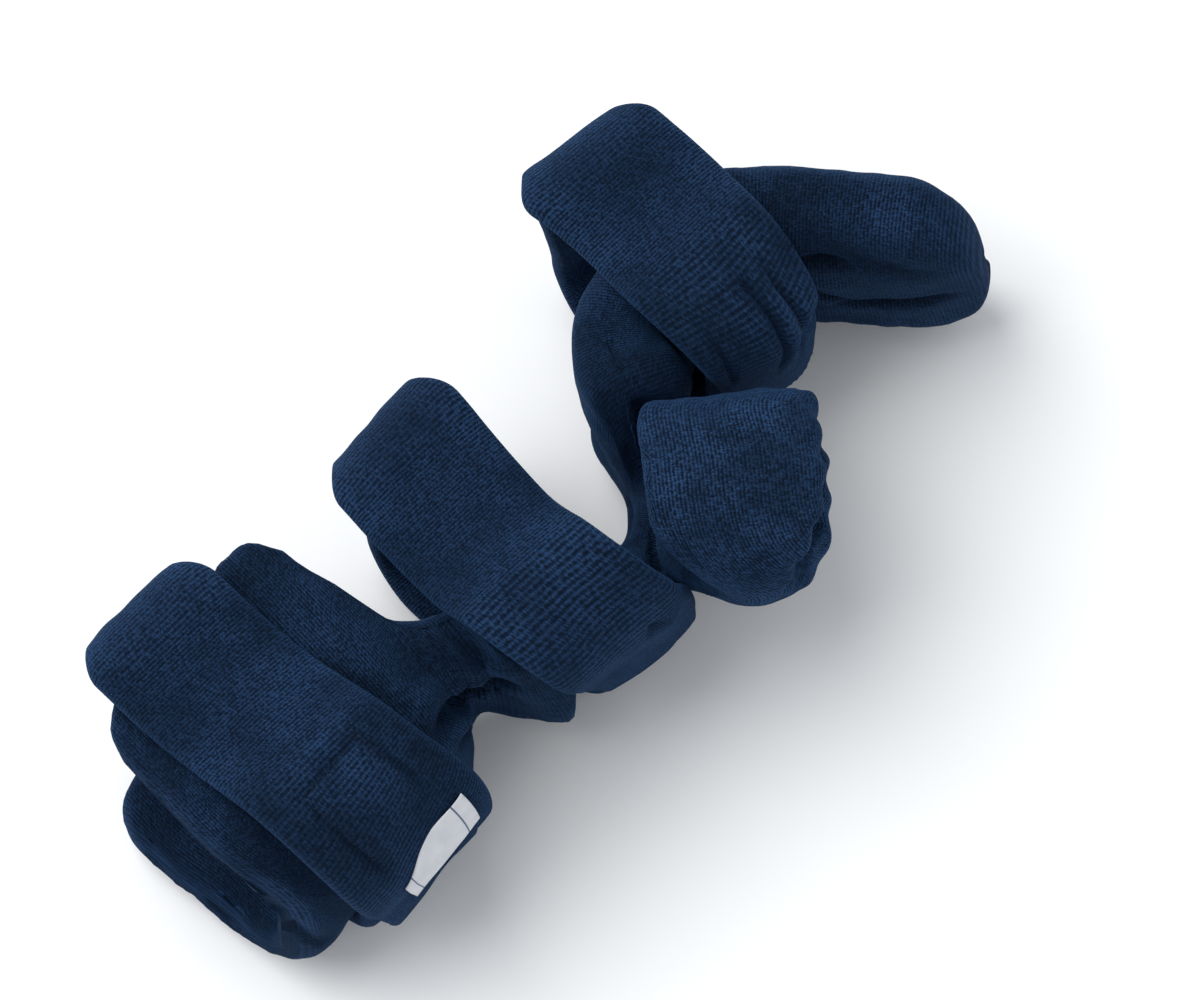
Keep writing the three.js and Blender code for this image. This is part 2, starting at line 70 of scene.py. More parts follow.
# Thumb sleeve
SLEEVE_LENGTH = 69.0
SLEEVE_WIDE = 79.0
SLEEVE_TALL = 57.0
SLEEVE_PAD = 12.0
SLEEVE_TURN = math.radians(-38.4)  # its axis from the arm's towards the palm side
SLEEVE_GAP = 0.4
SLEEVE_ROOM = 0.5  # the shell's seat is this much wider than the sleeve
SLEEVE_ROUNDNESS = 2.5  # 2 is an ellipse, more is squarer
SLEEVE_START = -0.54  # its ends on its axis, shares of its length
SLEEVE_END = 0.46
START_CUT = {"palm": 0.36, "fingers": 0.2}  # how far the ends slope back at either side
END_CUT = {"palm": 0.28, "fingers": 0.06}
HEM_SCALLOPS = 14
HEM_WAVE = 2.0
HEM_PULL = 1.6

# Label and stitches
LABEL_LONG = 37.0
LABEL_WIDE = 20.0
LABEL_THICK = 0.6
LABEL_GAP = 0.4
LABEL_START = -0.46  # its end, as a share of half the strap's width
LABEL_EDGE = 12.5  # its lower edge from the strap's end
LABEL_WAVE = 2.4
STITCH_PITCH = 2.9
STITCH_LENGTH = 2.0
STITCH_THICK = 0.45
STITCH_PROUD = 0.02
HEM_ROW = 5  # a hem's stitches from the strap's end

# How finely and firmly the cloth is worked
CLOTH_FRAMES = 20
CLOTH_MOST = 1.6  # how far Cloth may move a point
SHELL_STEP = 2.4
OUTSIDE = 150  # points round the outside of the pad
INSIDE = 100
STRAP_STEP = 1.3
STRAP_ACROSS = 44
SLEEVE_AROUND = 150
SLEEVE_ALONG = 26
CREASE_SHADE_DEPTH = 2.0  # a groove this deep gets the darkest painted shade in the knit's colour

SHELL_FLOOR = STRAP_PAD + STRAP_GAP
SLEEVE_SEAT = SHELL_FLOOR + 0.51 * SHELL_WIDTH
SLEEVE_AT = np.array([0.642 * SHELL_LENGTH, 0.035 * ARCH_RISE, SLEEVE_SEAT + SLEEVE_GAP + SLEEVE_TALL / 2])
SLEEVE_COS, SLEEVE_SIN = math.cos(SLEEVE_TURN), math.sin(SLEEVE_TURN)
TO_FRAME = np.array([-203.2904, -59.2656, 0.0])  # elbow tip and trough underside to the footprint's middle


# ---- small helpers ----

def mix(a, b, t):
    return a + (b - a) * t


def ease(t):
    c = np.clip(t, 0, 1)
    return c * c * (3 - 2 * c)


def rounded(distance, length, power):
    """A quarter of a rounded end, from 0 at the tip to 1 at full size."""
    return (1 - (1 - np.clip(distance / length, 0, 1)) ** power) ** (1 / power)


def rows_of(columns, rows):
    return [dict(zip(columns.split(), row)) for row in rows]


def running(steps):
    """How far each step's end lies from the start, with the start itself."""
    return np.concatenate([[0], np.cumsum(steps)])


def new_object(name, data):
    made = bpy.data.objects.new(name, data)
    bpy.context.collection.objects.link(made)
    return made


def evaluated(piece):
    return piece.evaluated_get(bpy.context.evaluated_depsgraph_get())


class Table:
    """Rows with named columns, read smoothly between rows by the `at` column, or else by row number."""

    def __init__(self, columns, rows):
        self.columns = dict(zip(columns.split(), np.array(rows, float).T))
        self.at = self.columns.get("at", np.arange(float(len(rows))))
        self.slopes = {name: self._slopes(values) for name, values in self.columns.items()}

    def _slopes(self, values):
        last = len(values) - 1
        slopes = np.zeros(last + 1)
        for k in range(last + 1):
            low, high = max(k - 1, 0), min(k + 1, last)
            if (values[high] - values[k]) * (values[k] - values[low]) > 0:
                slopes[k] = (values[high] - values[low]) / (self.at[high] - self.at[low])
        return slopes

    def value(self, column, at):
        at = np.asarray(at, float)
        i = np.clip(np.searchsorted(self.at, at) - 1, 0, len(self.at) - 2)
        span = self.at[i + 1] - self.at[i]
        t = np.clip((at - self.at[i]) / span, 0, 1)
        a, b = self.columns[column][i], self.columns[column][i + 1]
        ma, mb = self.slopes[column][i] * span, self.slopes[column][i + 1] * span
        t2, t3 = t * t, t * t * t
        return (2 * t3 - 3 * t2 + 1) * a + (t3 - 2 * t2 + t) * ma + (3 * t2 - 2 * t3) * b + (t3 - t2) * mb


def softness(points, seed, size, height):
    """Gentle uneven rise and fall of stuffed cloth, as one number for each point."""
    waves = 14
    rng = np.random.default_rng(seed)
    total = np.zeros(points.shape[:-1])
    for _ in range(waves):
        turn = rng.normal(size=3)
        turn *= rng.uniform(0.7, 1.6) * 2 * math.pi / (size * np.linalg.norm(turn))
        total += np.cos(points @ turn + rng.uniform(0, 2 * math.pi))
    return height * total / math.sqrt(waves)


# ---- the camera, which fits the photograph's own frame, and the studio ----

PHOTO_WIDTH, PIXEL = 1200, 0.00039  # pixels, and metres of the part that one shows
SENSOR, VIEW_FROM = 36, 2.2
TARGET = Vector((0.0207, -0.0088, 0.061))
TILT_VIEW, TILT_PART, ROLL = math.radians(18), math.radians(8), math.radians(42)
toward = Vector((
    -math.sin(TILT_PART),
    -math.cos(TILT_PART) * math.sin(TILT_VIEW),
    math.cos(TILT_PART) * math.cos(TILT_VIEW),
))
along_part = (Vector((1, 0, 0)) - toward * toward.x).normalized()
across_part = toward.cross(along_part)
view_right = math.cos(ROLL) * along_part - math.sin(ROLL) * across_part
view_up = math.sin(ROLL) * along_part + math.cos(ROLL) * across_part


def set_up_view():
    camera = new_object("view", bpy.data.cameras.new("view"))
    axes = Matrix((view_right, view_up, toward)).transposed().to_4x4()
    camera.matrix_world = Matrix.Translation(TARGET + toward * VIEW_FROM) @ axes
    camera.data.sensor_width = SENSOR
    camera.data.lens = SENSOR * VIEW_FROM / (PHOTO_WIDTH * PIXEL)
    camera.data.clip_end = 50
    bpy.context.scene.camera = camera


def soft_box(name, right, up, out, size, power):
    """A round lamp that looks at the part, placed as the camera sees it."""
    light = bpy.data.lights.new(name, "AREA")
    light.shape = "DISK"
    light.size = size
    light.energy = power
    lamp = new_object(name, light)
    lamp.location = TARGET + view_right * right + view_up * up + toward * out
    lamp.rotation_mode = "QUATERNION"
    lamp.rotation_quaternion = (TARGET - lamp.location).to_track_quat("-Z", "Y")


def set_up_studio():
    soft_box("key_light", right=-1.45, up=1.2, out=1.9, size=3.0, power=72)
    soft_box("fill_light", right=1.5, up=0.7, out=1.7, size=2.6, power=6)
    world = bpy.data.worlds.new("studio")
    bpy.context.scene.world = world
    world.use_nodes = True
    sky = world.node_tree.nodes["Background"].inputs
    sky["Color"].default_value = (0.93, 0.96, 1, 1)
    sky["Strength"].default_value = 0.6
    bpy.context.scene.view_settings.view_transform = "Standard"
    floor_mesh = bpy.data.meshes.new("floor")
    reach = 6.0
    corners = [(-reach, -reach, 0), (reach, -reach, 0), (reach, reach, 0), (-reach, reach, 0)]
    floor_mesh.from_pydata(corners, [], [(0, 1, 2, 3)])
    floor = new_object("floor", floor_mesh)
    paint, _, _ = finish("pale_floor", {"Base Color": (0.93, 0.935, 0.94, 1), "Roughness": 0.9})
    floor_mesh.materials.append(paint)


# ---- finishes ----

def add(tree, kind, inputs=None, **settings):
    made = tree.nodes.new(kind)
    for name, value in settings.items():
        setattr(made, name, value)
    for key, value in (inputs or {}).items():
        if isinstance(value, bpy.types.NodeSocket):
            tree.links.new(value, made.inputs[key])
        else:
            made.inputs[key].default_value = value
    return made


def maths(tree, operation, *values):
    return add(tree, "ShaderNodeMath", dict(enumerate(values)), operation=operation).outputs[0]


def finish(name, constants):
    """A new material with its tree and its shader, whose unlinked sockets are given."""
    material = bpy.data.materials.new(name)
    material.use_nodes = True
    surface = material.node_tree.nodes["Principled BSDF"]
    for socket, value in constants.items():
        surface.inputs[socket].default_value = value
    return material, material.node_tree, surface


def cloth_place(tree):
    """Where a point lies on the flat cloth, in metres, whole and in its two parts."""
    place = add(tree, "ShaderNodeUVMap", uv_map="cloth").outputs[0]
    return place, add(tree, "ShaderNodeSeparateXYZ", {0: place}).outputs


def noise(tree, place, scale, detail=2.0, roughness=0.5):
    return add(tree, "ShaderNodeTexNoise", {
        "Vector": place, "Scale": scale, "Detail": detail, "Roughness": roughness,
    }).outputs[0]


def raised(tree, surface, strength, distance, height):
    bump = add(tree, "ShaderNodeBump", {"Strength": strength, "Distance": distance, "Height": height})
    tree.links.new(bump.outputs[0], surface.inputs["Normal"])


def shades(tree, at, stops):
    """Colours read at a value, from the stops' positions and colours."""
    ramp = add(tree, "ShaderNodeValToRGB", {0: at})
    elements = ramp.color_ramp.elements
    elements[0].position, elements[-1].position = stops[0][0], stops[-1][0]
    for position, _ in stops[1:-1]:
        elements.new(position)
    for element, (_, colour) in zip(elements, stops):
        element.color = (*colour, 1)
    return ramp.outputs[0]


def knit(name, base, rib, course, ribbing, nap, dark, light):
    """Brushed navy terry knit. rib and course are the pitches in metres along and across the cloth,
    ribbing is how deep the ribs stand and nap how fuzzy the face is, both 0 to 1. dark and light
    are the colour between the loops and on their tips, as shares of the base colour: the colour follows
    the same relief as the bump, so it holds painted shade in the hollows and painted highlight on the
    loop tips and fuzz, with random tone per loop and over broad patches."""
    material, tree, surface = finish(name, {
        "Specular IOR Level": 0.06,
        "Sheen Weight": 0.2,
        "Sheen Roughness": 0.5,
        "Sheen Tint": (0.1, 0.3, 0.72, 1),
    })
    place, parts = cloth_place(tree)
    wander = maths(tree, "SUBTRACT", noise(tree, place, 26.0), 0.5)
    bend = maths(tree, "MULTIPLY", wander, 0.002)
    u = maths(tree, "DIVIDE", maths(tree, "ADD", parts[0], bend), rib)
    v = maths(tree, "DIVIDE", parts[1], course)
    cells = add(tree, "ShaderNodeCombineXYZ", {0: u, 1: v}).outputs[0]
    loops = add(tree, "ShaderNodeTexVoronoi", {"Vector": cells, "Scale": 1.0, "Randomness": 0.78},
                voronoi_dimensions="2D").outputs
    loop = maths(tree, "SUBTRACT", 1.0, maths(tree, "MULTIPLY", loops["Distance"], 1.25))
    wave = maths(tree, "SINE", maths(tree, "MULTIPLY", u, 2 * math.pi))
    ridge = maths(tree, "MULTIPLY_ADD", wave, 0.5, 0.5)
    worn = noise(tree, place, 24.0, roughness=0.6)
    showing = add(tree, "ShaderNodeMapRange", {0: worn, 1: 0.36, 2: 0.62, 3: 0.5, 4: 0.95}).outputs[0]
    fuzz = noise(tree, place, 1300.0, 3.0, 0.7)
    stands = maths(tree, "MULTIPLY_ADD", ridge, 0.5, maths(tree, "MULTIPLY", loop, 0.6))
    knitted = maths(tree, "MULTIPLY", stands, maths(tree, "MULTIPLY", showing, ribbing))
    raised(tree, surface, 0.8, 0.0012, maths(tree, "MULTIPLY_ADD", fuzz, nap, knitted))
    fleck = add(tree, "ShaderNodeSeparateXYZ", {0: loops["Color"]}).outputs[0]
    broad = noise(tree, place, 30.0)
    # Colour from the relief: painted shade in the hollows between loops and painted highlight on loop tips and
    # fuzz, with random tone per loop and in broad patches
    shade = maths(tree, "MULTIPLY_ADD", knitted, 0.72, maths(tree, "MULTIPLY", fleck, 0.15))
    uneven = maths(tree, "MULTIPLY_ADD", fuzz, 0.66, maths(tree, "MULTIPLY", broad, 0.1))
    shade = maths(tree, "ADD", shade, uneven)
    # Painted shade: darker where press sank the cloth into a groove (flattened pile and painted shade), a
    # little lighter on raised ridges as painted light
    crease_shade = add(tree, "ShaderNodeAttribute", attribute_name="crease_pile_and_shade").outputs["Fac"]
    shade = maths(tree, "MULTIPLY_ADD", crease_shade, -0.11, shade)
    dye_and_shade = shades(tree, shade, [
        (0.44, [c * dark for c in base]),
        (0.66, base),
        (0.88, [c * light for c in base]),
    ])
    tree.links.new(dye_and_shade, surface.inputs["Base Color"])
    tree.links.new(maths(tree, "MULTIPLY_ADD", fuzz, 0.16, 0.84), surface.inputs["Roughness"])
    return material


def woven_tag():
    """White woven tag with two plain ruled lines."""
    material, tree, surface = finish("woven_tag", {"Roughness": 0.75, "Sheen Weight": 0.2})
    place, parts = cloth_place(tree)
    pitch = 0.0007
    warp, weft = (maths(tree, "SINE", maths(tree, "MULTIPLY", part, 2 * math.pi / pitch)) for part in parts[:2])
    raised(tree, surface, 0.35, 0.0002, maths(tree, "MULTIPLY", warp, weft))
    lines = None
    for at in (0.0045, 0.0315):
        gap = maths(tree, "ABSOLUTE", maths(tree, "SUBTRACT", parts[0], at))
        line = maths(tree, "LESS_THAN", gap, 0.0003)
        lines = line if lines is None else maths(tree, "MAXIMUM", lines, line)
    cloth = shades(tree, noise(tree, place, 120.0, 4.0), [(0, (0.5, 0.52, 0.56)), (1, (0.8, 0.81, 0.84))])
    both = add(tree, "ShaderNodeMix", {0: lines, 6: cloth, 7: (0.07, 0.1, 0.2, 1)}, data_type="RGBA")
    tree.links.new(both.outputs[2], surface.inputs["Base Color"])
    return material


def sewing_thread():
    """Dark navy spun thread."""
    material, tree, surface = finish("sewing_thread", {"Roughness": 0.7, "Specular IOR Level": 0.2})
    place = add(tree, "ShaderNodeTexCoord").outputs["Object"]
    twist = noise(tree, place, 2600.0, 1.0)
    raised(tree, surface, 0.4, 0.0001, twist)
    dye_and_shade = shades(tree, twist, [(0, (0.004, 0.010, 0.024)), (1, (0.010, 0.026, 0.062))])
    tree.links.new(dye_and_shade, surface.inputs["Base Color"])
    return material


# ---- cloth pieces from rings of points ----

def cloth_piece(name, rings, u, v, material, ends=(), loop=False):
    """A closed cloth solid through rings of points in millimetres. u and v lay the cloth flat, with one
    more column than the ring has points; ends are the faces that close the first and last ring."""
    m, n = rings.shape[:2]
    r, i = np.meshgrid(np.arange(m if loop else m - 1), np.arange(n), indexing="ij")
    corners = [(r, i), (r, i + 1), (r + 1, i + 1), (r + 1, i)]
    faces = np.stack([(a % m) * n + b % n for a, b in corners], axis=-1).reshape(-1, 4)
    flat = np.stack([np.stack([u[a, b], v[a, b]], axis=-1) for a, b in corners], axis=-2).reshape(-1, 2)
    faces, flat = faces.tolist(), flat.tolist()
    for ring, flip in ((0, False), (m - 1, True)) if ends else ():
        for face in ends:
            face = face[::-1] if flip else face
            faces.append([ring * n + k for k in face])
            flat.extend([u[ring, k], v[ring, k]] for k in face)
    points = (rings.reshape(-1, 3) + TO_FRAME) / 1000
    mesh = bpy.data.meshes.new(name)
    mesh.from_pydata(points.tolist(), [], faces)
    layer = mesh.uv_layers.new(name="cloth")
    layer.data.foreach_set("uv", (np.array(flat) / 1000).ravel())
    mesh.polygons.foreach_set("use_smooth", [True] * len(mesh.polygons))
    mesh.materials.append(material)
    mesh.update()
    piece = new_object(name, mesh)
    if space_inside(mesh) < 0:
        mesh.flip_normals()
    return piece


def read_points(mesh):
    """A mesh's points and normals, in the part's own millimetres."""
    points, normals = np.empty(len(mesh.vertices) * 3), np.empty(len(mesh.vertices) * 3)
    mesh.vertices.foreach_get("co", points)
    mesh.vertex_normals.foreach_get("vector", normals)
    return points.reshape(-1, 3) * 1000 - TO_FRAME, normals.reshape(-1, 3)


def write_points(mesh, points):
    points[:, 2] = np.maximum(points[:, 2], 0)  # nothing sinks under the surface that it rests on
    mesh.vertices.foreach_set("co", ((points + TO_FRAME) / 1000).ravel())
    mesh.update()


def away_from_toe(points):
    """0 at the toe's tight end, where nothing is moved, to 1 away from it."""
    far = np.hypot(points[:, 0] - TOE_END[0], points[:, 1] - TOE_END[1])
    return ease((far - TOE_TIGHT) / TOE_EASE)


def press(piece, creases, uneven=0.0):
    """Presses grooves and raises ridges along lines over a piece, and stores how deep each point is sunk, which
    the knit reads as flattened pile and painted shade in the grooves and a little painted light on the ridges.
    Each crease is its height, its half width and the places that it passes, in millimetres."""
    points, normals = read_points(piece.data)
    count = len(points)
    moved = np.zeros(count)
    tree = surface_of(piece)
    for high, wide, line in creases:
        line = np.array(line, float)
        at = np.linspace(0, len(line) - 1, 6 * len(line))
        line = np.stack([np.interp(at, np.arange(len(line)), column) for column in line.T], axis=-1)
        line = np.array([tree.find_nearest(place)[0] for place in line])
        line = line[np.concatenate([[True], np.linalg.norm(np.diff(line, axis=0), axis=1) > 0.01])]
        nearest, share = np.full(count, 1e9), np.zeros(count)
        lengths = running(np.linalg.norm(np.diff(line, axis=0), axis=1))
        for a, b, start in zip(line[:-1], line[1:], lengths):
            t = np.clip((points - a) @ (b - a) / ((b - a) @ (b - a)), 0, 1)
            gap = np.linalg.norm(points - a - t[:, None] * (b - a), axis=1)
            closer = gap < nearest
            nearest = np.where(closer, gap, nearest)
            share = np.where(closer, (start + t * np.linalg.norm(b - a)) / lengths[-1], share)
        taper = np.sin(np.clip(share, 0.02, 0.98) * math.pi) ** 0.6
        moved += high * taper * np.exp(-(nearest / wide) ** 2)
    # Stored for the knit's colour: flattened pile with painted shade in grooves, a little painted light on
    # ridges
    crease_pile_and_shade = piece.data.attributes.new("crease_pile_and_shade", "FLOAT", "POINT")
    crease_pile_and_shade.data.foreach_set("value", np.clip(-moved / CREASE_SHADE_DEPTH, -0.25, 1))
    moved += uneven * (softness(points, 3, 46, 1) + softness(points, 5, 17, 0.4))
    write_points(piece.data, points + normals * (moved * away_from_toe(points))[:, None])


def fill_out(piece, voxel, pressure=4.0):
    """Lets Cloth blow up a coarse copy of a pad, and moves the pad the same way, in and out about the
    middle of it all and never further than CLOTH_MOST."""
    scene = bpy.context.scene
    copy = new_object(piece.name + "_copy", piece.data.copy())
    copy.modifiers.new("even", "REMESH").voxel_size = voxel
    even = bpy.data.meshes.new_from_object(evaluated(copy))
    copy.modifiers.clear()
    copy.data = even
    start, normals = read_points(even)
    cloth = copy.modifiers.new("cloth", "CLOTH")
    cloth.settings.use_pressure = True
    cloth.settings.uniform_pressure_force = pressure
    cloth.settings.effector_weights.gravity = 0
    cloth.settings.quality = 4
    cloth.point_cache.frame_end = CLOTH_FRAMES
    for step in range(1, CLOTH_FRAMES + 1):
        scene.frame_set(step)
    blown, _ = read_points(evaluated(copy).data)
    scene.frame_set(1)
    out = np.einsum("ij,ij->i", blown - start, normals)
    out = np.clip(out - np.median(out), -CLOTH_MOST, CLOTH_MOST)
    tree = KDTree(len(start))
    for k, place in enumerate(start):
        tree.insert(place, k)
    tree.balance()
    points, normals = read_points(piece.data)
    moved = np.empty(len(points))
    for k, place in enumerate(points):
        near = tree.find_n(place, 6)
        weights = [1 / (1 + gap * gap) for _, _, gap in near]
        moved[k] = sum(w * out[i] for w, (_, i, _) in zip(weights, near)) / sum(weights)
    write_points(piece.data, points + normals * (moved * away_from_toe(points))[:, None])
    bpy.data.objects.remove(copy)


def surface_of(piece):
    points, _ = read_points(piece.data)
    return BVHTree.FromPolygons(points.tolist(), [list(face.vertices) for face in piece.data.polygons])


def keep_clear(piece, others, gap):
    """Pushes a piece's points out of its neighbours."""
    points, _ = read_points(piece.data)
    for other in others:
        tree = surface_of(other)
        for k, place in enumerate(points):
            spot, normal, _, far = tree.find_nearest(place, 4.0)
            if spot is not None and (Vector(place) - spot).dot(normal) < gap:
                points[k] = spot + normal * gap
    write_points(piece.data, points)


def space_inside(mesh):
    mesh.calc_loop_triangles()
    corners = np.empty(len(mesh.loop_triangles) * 3, int)
    mesh.loop_triangles.foreach_get("vertices", corners)
    points = np.empty(len(mesh.vertices) * 3)
    mesh.vertices.foreach_get("co", points)
    a, b, c = points.reshape(-1, 3)[corners.reshape(-1, 3)].transpose(1, 0, 2)
    return float(np.einsum("ij,ij->i", a, np.cross(b, c)).sum() / 6)


# ---- the padded shell ----

# Steps of the section that the pad is worked out in
WALL_STEPS = 24
CORNER_STEPS = 10
BED_STEPS = 16
RIM_STEPS = 7
TOE_STATIONS = 5  # the toe rounds off within the last of these

# A row for each station. along: share of SHELL_LENGTH; rise: of ARCH_RISE; turn: degrees that it tips up;
# pad: 0 as thick as under the forearm to 1 as under the palm; near, far: the walls, shares of WALL_RISE;
# top: how far it reaches to the thumb side, share of SHELL_WIDTH.
SECTIONS = Table("along rise turn pad near far top", [
    (0.0, 0.071, 0, 0, 0.72, 0.7, 1),
    (0.012, 0.071, 0, 0, 0.8, 0.8, 1),
    (0.035, 0.071, 0, 0, 0.86, 0.87, 1),
    (0.075, 0.071, 0, 0, 0.9, 0.9, 1),
    (0.13, 0.071, 0, 0, 0.905, 0.905, 1),
    (0.19, 0.071, 0, 0, 0.905, 0.905, 1),
    (0.235, 0.076, 0, 0, 0.95, 0.95, 1),
    (0.261, 0.1, 0, 0, 0.95, 0.95, 1),
    (0.281, 0.142, 0, 0, 0.81, 0.81, 1),
    (0.295, 0.193, 0, 0, 0.58, 0.58, 1),
    (0.305, 0.239, 0, 0, 0.38, 0.38, 1),
    (0.316, 0.285, 0, 0, 0.2, 0.22, 1),
    (0.33, 0.315, 0, 0, 0.115, 0.14, 1),
    (0.348, 0.29, 0, 0, 0.095, 0.13, 1),
    (0.37, 0.21, 0, 0, 0.15, 0.19, 1),
    (0.394, 0.165, 0, 0, 0.19, 0.23, 1),
    (0.443, 0.186, 0, 0, 0.16, 0.22, 0.99),
    (0.485, 0.186, 0, 0, 0.08, 0.18, 0.97),
    (0.512, 0.19, 2, 0.03, 0.02, 0.14, 0.9),
    (0.542, 0.208, 12, 0.25, 0.0, 0.11, 0.6),
    (0.571, 0.245, 30, 0.55, 0.0, 0.08, 0.52),
    (0.598, 0.315, 46, 0.85, 0.0, 0.05, 0.51),
    (0.618, 0.427, 64, 1, 0.0, 0.03, 0.52),
    (0.627, 0.555, 80, 1, 0.0, 0.02, 0.8),
    (0.632, 0.68, 80, 1, 0.0, 0.02, 0.985),
    (0.643, 0.8, 62, 1, 0.0, 0.02, 1),
    (0.669, 0.9, 38, 1, 0.0, 0.02, 1),
    (0.708, 0.968, 18, 1, 0.01, 0.03, 1),
    (0.75, 1, 2, 1, 0.03, 0.04, 1),
    (0.788, 0.966, -20, 1, 0.06, 0.06, 1),
    (0.822, 0.86, -40, 1, 0.09, 0.09, 1),
    (0.855, 0.71, -49, 0.97, 0.1, 0.1, 0.99),
    (0.888, 0.56, -49, 0.96, 0.1, 0.1, 0.98),
    (0.922, 0.4, -49, 0.94, 0.1, 0.1, 0.97),
    (0.966, 0.2, -49, 0.92, 0.09, 0.09, 0.96),
])

# Folds on the outside. at: station; across: 0 at the thumb-side rim to 1 at the other; reach: half its
# length in across; wide: half its width in stations; high: share of WALL_PAD; skew: stations it wanders.
SHELL_FOLDS = rows_of("at across reach wide high skew", [
    (12.6, 0.42, 0.2, 0.45, 0.3, 1.2),
    (13.8, 0.4, 0.24, 0.45, 0.34, 1.6),
    (13.2, 0.4, 0.22, 0.3, -0.3, 1.4),
    (1.2, 0.3, 0.3, 0.7, 0.12, 0),
    (24.6, 0.2, 0.2, 0.7, -0.12, 0.4),
])


def fold_at(folds, at, across):
    height = np.zeros_like(across)
    for fold in folds:
        off = (at - fold["at"] - fold["skew"] * (across - fold["across"])) / fold["wide"]
        span = np.clip((across - fold["across"]) / fold["reach"], -1, 1)
        height += fold["high"] * np.exp(-off * off) * (1 - span * span) ** 2
    return height


def section_at(at):
    s = {column: float(SECTIONS.value(column, at)) for column in SECTIONS.columns}
    return {
        "x": s["along"] * SHELL_LENGTH,
        "y": s["rise"] * ARCH_RISE,
        "turn": math.radians(s["turn"]),
        "pad": mix(BED_PAD, PALM_PAD, s["pad"]),
        "near": max(s["near"], 0) * WALL_RISE,
        "far": max(s["far"], 0) * WALL_RISE,
        "top": SHELL_FLOOR + s["top"] * SHELL_WIDTH,
    }


def pad_line(s):
    """The pad's middle line across one section: z, height, outward z and height, half thickness."""
    low = s["pad"] / 2

    def side(rise, at, inward):
        thick = mix(s["pad"], WALL_PAD, min(rise / LOW_WALL, 1))
        z = at + inward * thick / 2
        top = s["pad"] + rise - thick / 2
        corner = min(TROUGH_CORNER, max(top - low, 0.01))
        h = mix(top, low + corner, np.arange(WALL_STEPS) / WALL_STEPS)
        lean = WALL_LEAN * ((h - low) / WALL_RISE) ** 3
        flat = np.ones(WALL_STEPS)
        wall = np.stack([z + inward * lean, h, -inward * flat, 0 * flat, thick / 2 * flat], axis=-1)
        t = np.arange(CORNER_STEPS) / CORNER_STEPS
        cos, sin = np.cos(t * math.pi / 2), np.sin(t * math.pi / 2)
        bend = np.stack([z + inward * corner * (1 - cos), low + corner * (1 - sin), -inward * cos, -sin,
                         mix(thick, s["pad"], ease(t)) / 2], axis=-1)
        return np.concatenate([wall, bend]), z + inward * corner

    near, near_end = side(s["near"], s["top"], -1)
    far, far_end = side(s["far"], SHELL_FLOOR, 1)
    t = np.linspace(0, 1, BED_STEPS + 1)
    bed = np.stack([mix(near_end, far_end, t), low + 0 * t, 0 * t, -1 + 0 * t, low + 0 * t], axis=-1)
    return np.concatenate([near, bed, far[::-1]])


def evenly(points, count):
    """The same line with its points spread evenly."""
    steps = np.linalg.norm(np.diff(points, axis=0), axis=1)
    length = running(steps + 1e-6)
    at = np.linspace(0, length[-1], count)
    return np.stack([np.interp(at, length, column) for column in points.T], axis=-1)


def pad_ring(s, at, plump):
    """One closed ring of z and height points, half outside and half inside, and how far round it the
    middle of the outside lies."""
    z, h, nz, nh, half = pad_line(s).T
    half = half * plump
    across = np.linspace(0, 1, len(z))
    out = half + plump * WALL_PAD * fold_at(SHELL_FOLDS, at, across)
    outer = np.stack([z + nz * out, h + nh * out], axis=-1)
    middle = len(z) // 2
    angle = np.linspace(0, math.pi, 2 * RIM_STEPS + 1)[1:-1]
    surface = s["pad"] / 2 + s["pad"] / 2 * plump

    def side(order, keep):
        """From the top of a rim down the inside to the middle of the bed, never under its surface."""
        k = order[0]
        rim = np.stack([z[k] + nz[k] * half[k] * np.cos(angle), h[k] + half[k] * np.sin(angle)], axis=-1)
        wall = np.stack([z[order] - nz[order] * half[order], h[order] - nh[order] * half[order]], axis=-1)
        inward = np.concatenate([rim[RIM_STEPS:], wall])
        inward[:, 1] = np.maximum(inward[:, 1], min(surface, rim[RIM_STEPS - 1][1]))
        inward[:, 0] = keep.accumulate(inward[:, 0])
        return rim[:RIM_STEPS], inward

    near_rim, near = side(np.arange(middle + 1), np.minimum)
    far_rim, far = side(np.arange(len(z) - 1, middle - 1, -1), np.maximum)
    outside = np.concatenate([near_rim[::-1], outer, far_rim])
    inside = np.concatenate([near, far[::-1][1:]])
    to_middle = np.linalg.norm(np.diff(outside[:RIM_STEPS + middle + 1], axis=0), axis=1).sum()
    return np.concatenate([evenly(outside, OUTSIDE), evenly(inside, INSIDE + 2)[1:-1][::-1]]), to_middle


def shell_stations(step):
    """Stations at even steps along the pad, closer at its ends and where it turns, and how far along
    each lies."""
    last = SECTIONS.at[-1]
    turn_reach = 12
    fine = np.linspace(0, last, 3000)
    x, y = SECTIONS.value("along", fine) * SHELL_LENGTH, SECTIONS.value("rise", fine) * ARCH_RISE
    turned = np.radians(SECTIONS.value("turn", fine))
    length = np.hypot(np.diff(x), np.diff(y)) + turn_reach * np.abs(np.diff(turned))
    travelled = running(length)
    middle = np.arange(0, travelled[-1], step)
    ends = np.array([0.15, 0.5, 1, 1.8, 3, 4.5])
    places = np.unique(np.concatenate([middle, ends, travelled[-1] - ends, [travelled[-1]]]))
    places = places[np.concatenate([[True], np.diff(places) > 0.1])]
    return np.interp(places, travelled, fine), places


